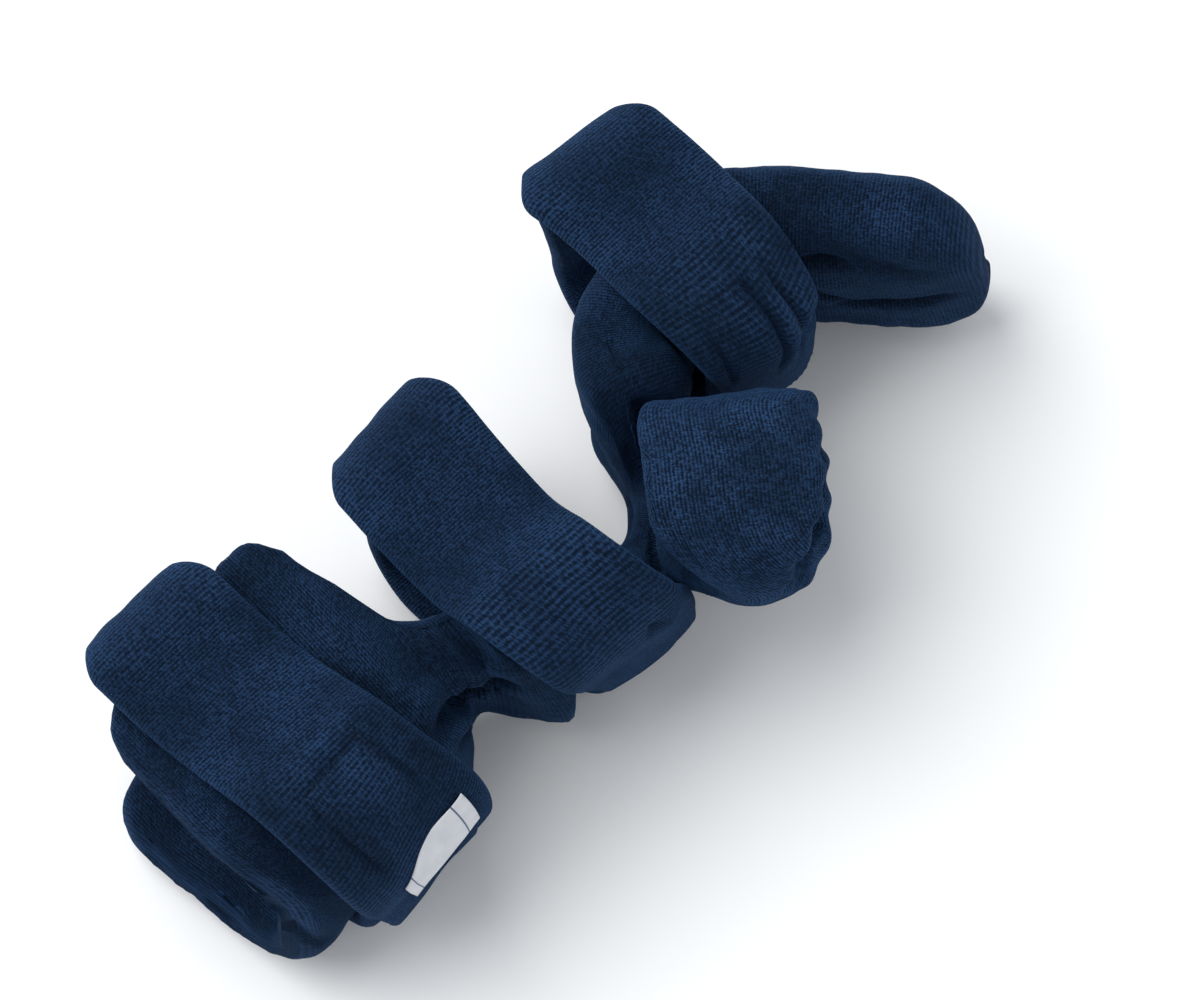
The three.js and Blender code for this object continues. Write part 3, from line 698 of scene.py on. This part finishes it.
def shell_rings(step):
    last = SECTIONS.at[-1]
    toe = section_at(last)
    stations, travelled = shell_stations(step)
    rings, middles = [], []
    for at in stations:
        s = section_at(at)
        to_toe = math.hypot(s["x"] - toe["x"], s["y"] - toe["y"])
        plump = rounded(s["x"] + 0.08 * RIM_ROLL, RIM_ROLL, 2)
        nose = rounded(to_toe + 0.01 * TOE_LENGTH, TOE_LENGTH, 2.6) if at > last - TOE_STATIONS else 1
        ring, to_middle = pad_ring(s, at, plump)
        middles.append(to_middle)
        z0, h0 = ring.T
        z = mix((s["top"] + SHELL_FLOOR) / 2, z0, nose)
        up = nose * (h0 - s["pad"] / 2)
        share = (z - SHELL_FLOOR) / SHELL_WIDTH
        heel = HEEL_CUT * (1 - np.clip(h0 / (0.42 * WALL_RISE), 0, 1)) ** 2
        slant = (ELBOW_SLANT * share + heel) * (1 - ease(s["x"] / (4 * ELBOW_SLANT)))
        if at > last - TOE_STATIONS:
            slant = slant + TOE_SLANT * (1 - share) * ease(1 - to_toe / (10 * TOE_SLANT))
        cos, sin = math.cos(s["turn"]), math.sin(s["turn"])
        rings.append(np.stack([s["x"] + slant * cos - up * sin, s["y"] + slant * sin + up * cos, z], axis=-1))
    return np.array(rings), travelled, np.array(middles)


def ring_ends(outside, inside):
    """Faces that close a flat ring whose outside and inside run side by side."""
    faces, a, b = [], 0, outside + inside
    while b - a > 1:
        if (outside - 1 - a) * inside >= (b - outside) * outside:
            faces.append([a, b % (outside + inside), a + 1])
            a += 1
        else:
            faces.append([a, b % (outside + inside), b - 1])
            b -= 1
    return [face for face in faces if len(set(face)) == 3]


def around(rings):
    """Distance round each ring, from its first point and back to it."""
    closed = np.concatenate([rings, rings[:, :1]], axis=1)
    steps = np.linalg.norm(np.diff(closed, axis=1), axis=-1)
    return np.concatenate([np.zeros((len(rings), 1)), np.cumsum(steps, axis=1)], axis=1)


def sleeve_frame(points):
    """Points as seen by the sleeve: along its axis, across it, and up."""
    x, y, z = np.moveaxis(points - SLEEVE_AT, -1, 0)
    return x * SLEEVE_COS + y * SLEEVE_SIN, -x * SLEEVE_SIN + y * SLEEVE_COS, z


def clear_of_sleeve(rings, gap):
    """Presses the shell's pad down and aside where the sleeve is seated in it."""
    along, across, up = sleeve_frame(rings)
    inside = (along > (SLEEVE_START - 0.03) * SLEEVE_LENGTH) & (along < (SLEEVE_END + 0.03) * SLEEVE_LENGTH)
    wide, tall = SLEEVE_WIDE / 2 + gap, SLEEVE_TALL / 2 + gap
    power = SLEEVE_ROUNDNESS
    reach = (np.abs(across / wide) ** power + np.abs(up / tall) ** power) ** (1 / power)
    hit = inside & (reach < 1)
    floor_up = -tall * (1 - np.clip(np.abs(across / wide), 0, 1) ** power) ** (1 / power)
    side = wide * (1 - np.clip(np.abs(up / tall), 0, 1) ** power) ** (1 / power)
    down, aside = up - floor_up, side - across
    lower = hit & (down <= aside)
    beside = hit & ~lower
    moved = rings.copy()
    moved[..., 2] -= np.where(lower, down, 0)
    shift = np.where(beside, aside, 0)
    moved[..., 0] -= shift * SLEEVE_SIN
    moved[..., 1] += shift * SLEEVE_COS
    return moved


# Where the cover swells away from its plain section. x, y, z: place; reach: how far it reaches;
# tall: the same along z; dx, dy, dz: how far it moves. Millimetres.
SHELL_SWELLS = rows_of("x y z reach tall dx dy dz", [
    (155, 8, 40, 12, 60, 1, -6, 0),
    (26, 0, 38, 18, 40, 1, -6, 0),
    (8, 40, 18, 26, 24, 6, 3, 0),
    (396, 14, 58, 20, 40, 2.5, -1, 0),
    (345, 78, 110, 34, 30, 0, -2, 0),
    (392, 45, 110, 24, 30, 1, -3, 0),
    (326, 40, 70, 11, 40, 2, -8, 0),
    (100, 112, 110, 34, 30, 0, 4, 0),
    (238, 60, 90, 18, 40, -1.5, 0.5, 0),
    (133, 16, 50, 14, 60, 0, 3, 0),
    (274, 64, 86, 15, 26, 13, -8, 3),
    (286, 74, 50, 13, 30, 6, -9, 0),
    (258, 56, 102, 12, 15, 1, -4, 5),
    (141, 27, 26, 12, 30, 0, 7, 0),
    (153, 10, 34, 9, 26, 2, -4, 0),
    (110, 119, 106, 9, 16, -2.5, -2, -1),
])


def swell(points, rows):
    """Points moved by each row's share, which fades with the distance from its place."""
    moved = points.copy()
    for row in rows:
        off = points - [row["x"], row["y"], row["z"]]
        far = (off[..., 0] ** 2 + off[..., 1] ** 2) / row["reach"] ** 2 + (off[..., 2] / row["tall"]) ** 2
        moved += np.exp(-far)[..., None] * [row["dx"], row["dy"], row["dz"]]
    return moved


def padded_shell(material):
    rings, travelled, middles = shell_rings(SHELL_STEP)
    rings = clear_of_sleeve(swell(rings, SHELL_SWELLS), SLEEVE_ROOM)
    v = around(rings) - middles[:, None]
    u = np.repeat(travelled[:, None], v.shape[1], axis=1)
    return cloth_piece("shell_cover", rings, u, v, material, ring_ends(OUTSIDE, INSIDE))


# ---- the straps ----

STRAP_SWELLS = rows_of("x y z reach tall dx dy dz", [
    (310, 48, 85, 24, 60, 3, -13, 0),
    (107, -12, 92, 16, 30, 4, -3, 0),
    (205, -4, 60, 22, 60, 3, -3, 0),
    (268, 140, 100, 14, 50, -3, 1, 0),
    (60, -34, 92, 12, 30, 5, -5, -1),
])

# at: middle of its width along the splint; palm, back: its inner face's y; palm_corner, back_corner: radii
# of its turns; start: height of its hidden start; lap: how far the free end passes it; hem_slant: how much
# further one edge of that end reaches; back_puff, palm_puff: how far it stands off at its turns, back_tilt
# how much more at the finger edge; drawn: how much narrower half of it is round the back. line: at: share
# of its length; shift, wide: shares of its width. folds: as the shell's, in shares of its length and pad.
STRAPS = {
    "forearm_strap": dict(
        at=0.165 * SHELL_LENGTH, wide=63, palm=-STRAP_GAP, back=0.96 * WALL_RISE + BED_PAD + 4 * STRAP_GAP,
        palm_corner=38, back_corner=21, start=0.74 * SHELL_WIDTH, lap=19, hem_slant=20,
        back_puff=4.8, back_tilt=1.8, palm_puff=0.5, drawn=7.0,
        line=Table("at shift wide", [
            (0, 0.14, 0.9), (0.12, 0.12, 0.95), (0.3, 0, 0.98), (0.42, -0.12, 1),
            (0.55, -0.15, 1.03), (0.64, -0.13, 1.0), (0.73, -0.08, 1), (0.84, 0.05, 1.02),
            (0.93, 0.15, 1.0), (1, 0.2, 0.86),
        ]),
        folds=rows_of("at across reach wide high", [
            (0.9, 0.4, 0.7, 0.02, -0.12), (0.955, -0.2, 1, 0.012, -0.14),
        ]),
    ),
    "wrist_strap": dict(
        at=0.4195 * SHELL_LENGTH, wide=63, palm=0.115 * ARCH_RISE - STRAP_GAP,
        back=0.92 * WALL_RISE + 0.65 * BED_PAD,
        palm_corner=22, back_corner=21, start=0.68 * SHELL_WIDTH, lap=26, hem_slant=0,
        back_puff=5.4, back_tilt=2.4, palm_puff=7.4, drawn=8.0,
        line=Table("at shift wide", [
            (0, 0.46, 0.7), (0.14, 0.42, 0.72), (0.3, 0.12, 0.96), (0.42, 0.08, 1), (0.55, 0.07, 1),
            (0.62, 0.06, 1), (0.68, 0.04, 0.99), (0.76, 0.03, 0.96), (0.82, 0.09, 0.95),
            (0.88, 0.25, 0.94), (0.94, 0.36, 0.9), (1, 0.42, 0.74),
        ]),
        folds=rows_of("at across reach wide high", [
            (0.85, 0.35, 0.7, 0.025, -0.3), (0.895, 0.1, 0.9, 0.02, 0.16),
        ]),
    ),
    "hand_strap": dict(
        at=0.745 * SHELL_LENGTH, wide=62, palm=0.655 * ARCH_RISE, back=1.42 * ARCH_RISE + 0.2 * BED_PAD,
        palm_corner=22, back_corner=21, start=0.7 * SHELL_WIDTH, lap=28, hem_slant=0,
        back_puff=4.2, back_tilt=-1.5, palm_puff=2.5, drawn=8.0,
        line=Table("at shift wide", [
            (0, 0.08, 0.66), (0.12, 0.08, 0.72), (0.3, 0.06, 0.98), (0.42, 0.06, 1),
            (0.55, 0.07, 1.02), (0.64, 0.07, 1.02), (0.73, 0.1, 1.02), (0.81, 0.09, 1),
            (0.9, 0.09, 0.8), (1, 0.08, 0.66),
        ]),
        folds=rows_of("at across reach wide high", [
            (0.83, 0.9, 0.5, 0.012, -0.5), (0.86, 0.8, 0.5, 0.012, 0.3),
            (0.89, 0.7, 0.6, 0.012, -0.4),
        ]),
    ),
}
LAP_FROM, LAP_OVER = 0.74, 0.13  # where the free end climbs over the strap's start, shares of its length
END_FROM = 0.8
BACK_PUFF_AT, BACK_PUFF_OVER = 14, 26  # past the turn at the back
PALM_PUFF_OVER = 30
DRAWN_FROM, DRAWN_OVER = -120, 60
DRAWN_TO, DRAWN_FADE = 6, 20


class Route:
    """A strap's way round the arm: from under its own free end on the palm side, round the little-finger
    side and the back, and down the thumb side to lap over its start."""

    def __init__(self, strap):
        half = STRAP_PAD / 2
        low_y, low_z = strap["palm"] - half, half
        high_y, high_z = strap["back"] + half, SHELL_FLOOR + SHELL_WIDTH + STRAP_GAP + half
        p, b = strap["palm_corner"], strap["back_corner"]
        rows, self.total = [], 0.0

        def line(y0, z0, y1, z1, ny, nz):
            length = math.hypot(y1 - y0, z1 - z0)
            for t in np.linspace(0, 1, 24):
                rows.append((self.total + t * length, mix(y0, y1, t), mix(z0, z1, t), ny, nz))
            self.total += length

        def arc(cy, cz, radius, start):
            length = radius * math.pi / 2
            for t in np.linspace(0, 1, 40):
                angle = math.radians(start - 90 * t)
                ny, nz = math.sin(angle), math.cos(angle)
                rows.append((self.total + t * length, cy + radius * ny, cz + radius * nz, ny, nz))
            self.total += length

        line(low_y, strap["start"], low_y, low_z + p, -1, 0)
        arc(low_y + p, low_z + p, p, 270)
        line(low_y + p, low_z, high_y - b, low_z, 0, -1)
        arc(high_y - b, low_z + b, b, 180)
        line(high_y, low_z + b, high_y, high_z - b, 1, 0)
        self.back_turn = self.total
        arc(high_y - b, high_z - b, b, 90)
        line(high_y - b, high_z, low_y + p, high_z, 0, 1)
        self.palm_turn = self.total + p * math.pi / 4
        arc(low_y + p, high_z - p, p, 360)
        line(low_y, high_z - p, low_y, strap["start"] - strap["lap"], -1, 0)
        self.rows = np.array(rows)

    def at(self, distance):
        s = self.rows[:, 0]
        return [np.interp(distance, s, self.rows[:, k]) for k in (1, 2, 3, 4)]


def strap_point(strap, route, distance, across, out):
    """Places on a strap. distance: along it; across: -1 to 1; out: from its middle layer."""
    share = distance / route.total
    lift = (STRAP_PAD + STRAP_GAP) * ease((share - LAP_FROM) / LAP_OVER)
    ending = ease((share - END_FROM) / (1 - END_FROM))
    sheared = distance - strap["hem_slant"] * across * ending
    y, z, ny, nz = route.at(sheared)
    past = np.maximum(0, sheared - route.total)
    puff = strap["back_puff"] + strap["back_tilt"] * across
    past_back = distance - route.back_turn
    lift = lift + puff * np.exp(-((past_back - BACK_PUFF_AT) / BACK_PUFF_OVER) ** 2)
    lift = lift + strap["palm_puff"] * np.exp(-((distance - route.palm_turn) / PALM_PUFF_OVER) ** 2)
    drawn = ease((past_back - DRAWN_FROM) / DRAWN_OVER) * (1 - ease((past_back - DRAWN_TO) / DRAWN_FADE))
    middle = strap["at"] + strap["wide"] * strap["line"].value("shift", share)
    wide = strap["wide"] * strap["line"].value("wide", share) / 2 - strap["drawn"] * drawn
    return np.stack([middle + wide * across, y + ny * (lift + out), z + nz * (lift + out) - past], axis=-1)


def strap_cover(name, material):
    strap = STRAPS[name]
    route = Route(strap)
    ends, plain = np.array([0, 0.4, 1, 1.8, 2.8]), 4.2
    places = np.concatenate([ends, np.arange(plain, route.total - plain, STRAP_STEP), route.total - ends[::-1]])
    edge = STRAP_EDGE / (strap["wide"] / 2)
    turn = np.linspace(0, math.pi / 2, 7)
    corner = edge * (1 - np.cos(turn))
    flat = np.linspace(-1 + edge, 1 - edge, STRAP_ACROSS)[1:-1]
    across = np.concatenate([-1 + corner, flat, (1 - corner)[::-1]])
    side = np.concatenate([np.sin(turn), np.ones(len(flat)), np.sin(turn)[::-1]])
    proud = (1 - np.abs(across) ** 3) * side
    across = np.concatenate([across, across[-2:0:-1]])
    proud = np.concatenate([proud, 0 * proud[-2:0:-1]])
    side = np.concatenate([side, -side[-2:0:-1]])
    distance, a = np.meshgrid(places, across, indexing="ij")
    share = distance / route.total
    to_end = np.minimum(distance, route.total - distance)
    half = STRAP_PAD / 2 * rounded(to_end + 0.04 * STRAP_PAD, 0.6 * STRAP_PAD, 2)
    rests = route.at(distance)[3] < -0.3  # on the surface, so it has no crown there
    out = side * half + np.where(rests, 0, CROWN * proud)
    face = np.clip(side, 0, 1)
    for fold in strap["folds"]:
        off = (share - fold["at"]) / fold["wide"]
        span = np.clip((a - fold["across"]) / fold["reach"], -1, 1)
        out = out + face * STRAP_PAD * fold["high"] * np.exp(-off * off) * (1 - span * span)
    flat_place = np.stack([distance, a * strap["wide"] / 2, 0 * a], axis=-1)
    uneven = softness(flat_place, len(name), 52, 0.5) + softness(flat_place, 2, 20, 0.22)
    out = out + np.maximum(uneven + 0.5, 0) * ease((share - 0.2) / 0.1)
    rings = swell(strap_point(strap, route, distance, a, out), STRAP_SWELLS)
    v = around(rings)
    u = np.repeat(places[:, None], v.shape[1], axis=1)
    count = len(flat) + 2 * len(turn)
    last = 2 * count - 2
    caps = [[k, last - k, last - k - 1, k + 1] for k in range(1, count - 2)]
    caps.append([0, last - 1, 1])
    caps.append([count - 2, last - count + 2, count - 1])
    return cloth_piece(name + "_cover", rings, u, v - v[:, count // 2][:, None], material, caps)


def strap_line(name, places):
    """A line over the outside of a strap through places given along and across it."""
    strap = STRAPS[name]
    places = np.array(places, float)
    along = np.linspace(0, len(places) - 1, 12 * len(places))
    distance, across = (np.interp(along, np.arange(len(places)), places[:, k]) for k in (0, 1))
    out = STRAP_PAD / 2 + CROWN * (1 - np.abs(across) ** 3)
    return swell(strap_point(strap, Route(strap), distance, across, out), STRAP_SWELLS)


# ---- the thumb sleeve ----

SLEEVE_SHAPE = Table("at wide", [
    (0, 0.9),
    (0.25, 0.97),
    (0.6, 1),
    (1, 0.94),
])


def sleeve_point(turned, along, inset):
    """turned: radians from the fingers side towards the thumb side; along: 0 at the wrist end to 1 at the
    tip end; inset: depth under the outside."""
    cos, sin = np.cos(turned), np.sin(turned)
    power = SLEEVE_ROUNDNESS
    reach = (np.abs(cos) ** power + np.abs(sin) ** power) ** (-1 / power)
    across = (SLEEVE_WIDE / 2 - inset) * reach * cos * SLEEVE_SHAPE.value("wide", along)
    up = (SLEEVE_TALL / 2 - inset) * reach * sin
    start = SLEEVE_START + np.where(cos < 0, START_CUT["palm"], START_CUT["fingers"]) * cos ** 4
    end = SLEEVE_END - np.where(cos < 0, END_CUT["palm"], END_CUT["fingers"]) * np.abs(cos) ** 3
    axial = SLEEVE_LENGTH * mix(start, end, along)
    return np.stack([
        SLEEVE_AT[0] + axial * SLEEVE_COS - across * SLEEVE_SIN,
        SLEEVE_AT[1] + axial * SLEEVE_SIN + across * SLEEVE_COS,
        SLEEVE_AT[2] + up,
    ], axis=-1)


SLEEVE_SWELLS = rows_of("x y z reach tall dx dy dz", [
    (232, -24, 92, 26, 50, -0.5, -2.5, 0),
    (296, -8, 90, 26, 50, 3.4, 0, 0),
    (262, -30, 92, 20, 50, 1, -1.5, 0),
    (256, 46, 112, 15, 16, -1, 7, 1),
    (304, 18, 108, 12, 20, 1.5, -1, 0),
])


def sleeve_cover(material):
    wrist_bend, tip_bend = 0.07, 0.94  # the walls turn over before and past these
    turned = np.linspace(0, 2 * math.pi, SLEEVE_AROUND, endpoint=False)
    walls = np.linspace(wrist_bend, tip_bend, SLEEVE_ALONG)
    bend = np.linspace(0, math.pi, 11)[1:-1]
    along = np.concatenate([
        walls, tip_bend + (1 - tip_bend) * np.sin(bend), walls[::-1], wrist_bend * (1 - np.sin(bend)),
    ])
    depth = np.concatenate([0 * walls, (1 - np.cos(bend)) / 2, 1 + 0 * walls, (1 + np.cos(bend)) / 2])
    t, a = np.meshgrid(turned, along, indexing="ij")
    d = np.repeat(depth[None, :], len(turned), axis=0)
    hem = ease((a - 0.86) / 0.12)
    pulled = 0.5 + 0.5 * np.cos(HEM_SCALLOPS * t + 0.9 * np.sin(2 * t + 1))
    wave = HEM_WAVE * hem * pulled * (1 - 0.5 * d)
    rings = swell(sleeve_point(t, a, SLEEVE_PAD * d + wave), SLEEVE_SWELLS)
    rings -= HEM_PULL * (hem * pulled)[..., None] * [SLEEVE_COS, SLEEVE_SIN, 0]
    v = around(rings)
    v = np.concatenate([v, v[:1]])
    middle = np.concatenate([rings, rings[:1]])[:, SLEEVE_ALONG // 2]
    u = np.repeat(running(np.linalg.norm(np.diff(middle, axis=0), axis=-1))[:, None], v.shape[1], axis=1)
    return cloth_piece("sleeve_cover", rings, v, u, material, loop=True)


# ---- the label ----

def label_sheet(material):
    strap = STRAPS["forearm_strap"]
    route = Route(strap)
    u, v = np.meshgrid(np.linspace(0, 1, 38), np.linspace(0, 1, 22), indexing="ij")
    across = LABEL_START + 2 * LABEL_LONG * u / strap["wide"]
    distance = route.total - LABEL_EDGE - LABEL_WIDE * v + (v - 0.5) * LABEL_WAVE * np.sin(7 * u + 1)
    lift = STRAP_PAD / 2 + CROWN + LABEL_GAP + 0.5 * (1 + np.sin(5 * u + 2 * v)) * (0.3 + 0.7 * v)
    front = swell(strap_point(strap, route, distance, across, lift + LABEL_THICK), STRAP_SWELLS)
    back = swell(strap_point(strap, route, distance, across, lift), STRAP_SWELLS)
    rings = np.concatenate([front, back[:, ::-1]], axis=1)
    n = rings.shape[1]
    fold = LABEL_WIDE * np.concatenate([v, v[:, ::-1], v[:, :1]], axis=1)
    length = np.repeat(u[:, :1] * LABEL_LONG, n + 1, axis=1)
    caps = [[k, n - 1 - k, n - 2 - k, k + 1] for k in range(n // 2 - 1)]
    return cloth_piece("label_cloth", rings, length, fold, material, caps)


# ---- folds, pleats and the hook patches' outlines ----

# Each crease: height, half width and the places that it passes, in millimetres
SHELL_CREASES = [
    (-7.0, 4.2, [(108, 10, 99), (118, 15, 93), (124, 19, 87), (132, 22, 72), (138, 20, 74), (149, 9, 82)]),
    (3.6, 4.6, [(106, 20, 106), (119, 25, 102), (130, 30, 90), (141, 28, 88), (154, 16, 96)]),
    (-5.0, 3.0, [(116, 8, 80), (122, 15, 68), (128, 19, 59), (134, 21, 51), (141, 18, 54)]),
    (3.0, 3.6, [(112, 9, 88), (122, 15, 76), (129, 20, 66), (136, 20, 62), (146, 13, 66)]),
    (-3.4, 3.0, [(346, 50, 51), (362, 33, 57), (384, 14, 60)]),
    (2.2, 6.0, [(354, 56, 107), (371, 38, 107), (386, 25, 100)]),
    (-2.4, 5.0, [(350, 54, 98), (368, 36, 90), (382, 22, 84)]),
    (-4.6, 3.0, [(330, 54, 100), (342, 50, 97), (354, 44, 91)]),
    (-4.6, 3.0, [(330, 50, 70), (342, 50, 62), (352, 45, 55)]),
    (2.6, 4.0, [(334, 56, 84), (344, 50, 80), (354, 44, 74)]),
    (-2.4, 3.6, [(12, 4, 80), (20, -2, 68), (30, -3, 50)]),
    (-2.0, 3.2, [(10, 34, 94), (16, 18, 91), (26, 4, 80)]),
    (-1.6, 4.0, [(96, 60, 112), (104, 36, 110), (110, 14, 104)]),
]
STRAP_CREASES = {
    "forearm_strap": [
        (0.9, 7.0, [(66, 12, 127), (74, 4, 122)]),
        (-1.2, 4.0, [(90, 30, 130), (104, -2, 117), (108, -12, 104)]),
        (-1.1, 3.5, [(52, -8, 120), (66, -18, 100)]),
        (-0.8, 5.0, [(50, 60, 134), (60, 30, 132)]),
    ],
    "wrist_strap": [
        (-3.4, 3.2, [(208, 4, 116), (201, -7, 104), (196, -13, 86)]),
        (1.6, 4.0, [(214, 0, 112), (208, -8, 96), (202, -14, 76)]),
        (-1.4, 4.0, [(150, 20, 122), (162, 0, 116), (172, -10, 100)]),
    ],
    "hand_strap": [
        (-1.4, 4.0, [(300, 66, 122), (322, 48, 118)]),
    ],
}
# The hook patches' edges and pleats: height, half width, and places along and across the strap
STRAP_LINES = {
    "forearm_strap": [
        (-2.0, 1.6, [(380, 0.52), (380, -0.48)]),
        (-2.2, 1.7, [(378, -0.48), (394, -0.5), (412, -0.46)]),
        (-1.9, 1.6, [(380, 0.52), (394, 0.54), (408, 0.52)]),
        (1.4, 6.0, [(384, 0.24), (394, 0.2), (404, 0.12)]),
        (1.0, 3.0, [(374, 0.5), (374, 0.0), (374, -0.44)]),
    ],
    "wrist_strap": [],
    "hand_strap": [
        (-2.2, 1.6, [(324, -0.64), (338, -0.74), (352, -0.84)]),
        (0.9, 1.5, [(326, -0.64), (324, -0.3), (321, 0.06)]),
        (-4.4, 1.8, [(318, 0.12), (330, 0.08), (342, 0.0), (358, -0.18)]),
        (1.8, 2.4, [(319, 0.26), (334, 0.22), (354, 0.06)]),
        (-3.6, 1.8, [(320, 0.48), (340, 0.42), (360, 0.3)]),
    ],
}
SLEEVE_CREASES = [
    (-1.0, 2.6, [(232, 20, 112), (228, 2, 112), (228, -14, 108)]),
    (-0.9, 3.0, [(262, 20, 120), (280, 4, 120)]),
    (-1.1, 2.4, [(240, -22, 110), (258, -30, 108)]),
]

# ---- stitches ----

def stitch_tree(material):
    """Geometry Nodes: a row of stitches along every line of the mesh that it gets."""
    tree = bpy.data.node_groups.new("stitch_row", "GeometryNodeTree")
    kinds = {"Line": "Geometry", "Pitch": "Float", "Length": "Float", "Thickness": "Float", "Seed": "Int"}
    sockets = {
        name: tree.interface.new_socket(name, in_out="INPUT", socket_type="NodeSocket" + kind).identifier
        for name, kind in kinds.items()
    }
    tree.interface.new_socket("Stitches", in_out="OUTPUT", socket_type="NodeSocketGeometry")
    given = tree.nodes.new("NodeGroupInput").outputs
    curve = add(tree, "GeometryNodeMeshToCurve", {0: given["Line"]}).outputs[0]
    spaced = add(tree, "GeometryNodeResampleCurve", {"Curve": curve, "Length": given["Pitch"]},
                 mode="LENGTH").outputs[0]
    tangent = add(tree, "GeometryNodeInputTangent").outputs[0]
    kept = add(tree, "GeometryNodeCaptureAttribute", {0: spaced})
    kept.capture_items.new("VECTOR", "way")
    tree.links.new(tangent, kept.inputs[1])
    points = add(tree, "GeometryNodeCurveToPoints", {0: kept.outputs[0]}, mode="EVALUATED").outputs[0]
    turned = add(tree, "FunctionNodeAlignRotationToVector", {"Vector": kept.outputs[1]}, axis="X").outputs[0]
    ball = add(tree, "GeometryNodeMeshIcoSphere", {"Radius": 0.5, "Subdivisions": 1}).outputs[0]
    thick = given["Thickness"]
    size = add(tree, "ShaderNodeCombineXYZ", {0: given["Length"], 1: thick, 2: thick}).outputs[0]
    thread = add(tree, "GeometryNodeTransform", {"Geometry": ball, "Scale": size}).outputs[0]
    varied = add(tree, "FunctionNodeRandomValue", {2: 0.8, 3: 1.1, "Seed": given["Seed"]},
                 data_type="FLOAT").outputs[1]
    placed = add(tree, "GeometryNodeInstanceOnPoints",
                 {"Points": points, "Instance": thread, "Rotation": turned, "Scale": varied}).outputs[0]
    real = add(tree, "GeometryNodeRealizeInstances", {0: placed}).outputs[0]
    painted = add(tree, "GeometryNodeSetMaterial", {"Geometry": real, "Material": material}).outputs[0]
    tree.links.new(painted, tree.nodes.new("NodeGroupOutput").inputs[0])
    return tree, sockets


def stitch_rows(rows, material):
    """One plain mesh of stitches along rows, each a piece and a line in millimetres laid on its surface."""
    points, edges = [], []
    for piece, line in rows:
        tree = surface_of(piece)
        first = len(points)
        for place in line:
            spot, normal, _, _ = tree.find_nearest(place)
            points.append((np.array(spot + normal * STITCH_PROUD) + TO_FRAME) / 1000)
        edges.extend((k, k + 1) for k in range(first, len(points) - 1))
    mesh = bpy.data.meshes.new("stitches")
    mesh.from_pydata([tuple(p) for p in points], edges, [])
    piece = new_object("stitches", mesh)
    group, sockets = stitch_tree(material)
    sewing = piece.modifiers.new("sewing", "NODES")
    sewing.node_group = group
    for name, value in (("Pitch", STITCH_PITCH), ("Length", STITCH_LENGTH), ("Thickness", STITCH_THICK)):
        sewing[sockets[name]] = value / 1000
    sewing[sockets["Seed"]] = 7
    bpy.context.view_layer.update()
    plain = bpy.data.meshes.new_from_object(evaluated(piece))
    piece.modifiers.clear()
    piece.data = plain
    plain.name = "stitches"
    return piece


# ---- making it ----

set_up_view()
set_up_studio()

NAVY = (0.0056, 0.0150, 0.0372)
SLEEVE_NAVY = (0.0078, 0.0205, 0.0492)
shell_knit = knit("shell_knit", NAVY, rib=0.0014, course=0.0010, ribbing=0.52, nap=0.5, dark=0.24, light=3.3)
strap_knit = knit("strap_knit", NAVY, rib=0.0015, course=0.0010, ribbing=0.62, nap=0.42, dark=0.34, light=3.0)
sleeve_knit = knit("sleeve_knit", SLEEVE_NAVY, rib=0.0015, course=0.0012, ribbing=0.58, nap=0.45,
                   dark=0.22, light=3.4)

shell = padded_shell(shell_knit)
straps = {name: strap_cover(name, strap_knit) for name in STRAPS}
sleeve = sleeve_cover(sleeve_knit)
tag = label_sheet(woven_tag())

fill_out(shell, voxel=0.006)
fill_out(sleeve, voxel=0.004)
press(shell, SHELL_CREASES, uneven=0.7)
press(sleeve, SLEEVE_CREASES, uneven=0.5)
for name, strap in straps.items():
    lines = [(high, wide, strap_line(name, places)) for high, wide, places in STRAP_LINES[name]]
    press(strap, STRAP_CREASES[name] + lines)
keep_clear(shell, [sleeve, *straps.values()], gap=0.25)

# Stitched rows: round the forearm strap's hook patch, along each free end and round the sleeve's hems
patch = [(380, 0.5), (380, -0.46), (406, -0.46), (406, 0.5), (380, 0.5)]
rows = [(straps["forearm_strap"], strap_line("forearm_strap", patch))]
for name, half in (("forearm_strap", 0.86), ("wrist_strap", 0.84), ("hand_strap", 0.84)):
    hem = Route(STRAPS[name]).total - HEM_ROW
    rows.append((straps[name], strap_line(name, [(hem, -half), (hem, half)])))
turned = np.linspace(0, 2 * math.pi, 90)
for along in (0.9, 0.12):
    rows.append((sleeve, sleeve_point(turned, along + 0 * turned, 0)))
stitches = stitch_rows(rows, sewing_thread())

for piece, node, slot in [
    (shell, "padded_shell", "shell_knit"),
    *[(straps[name], name, "strap_knit") for name in STRAPS],
    (sleeve, "thumb_sleeve", "sleeve_knit"),
    (tag, "label", "woven_tag"),
]:
    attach(piece, "root")
    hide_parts(node)
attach(stitches, "root")
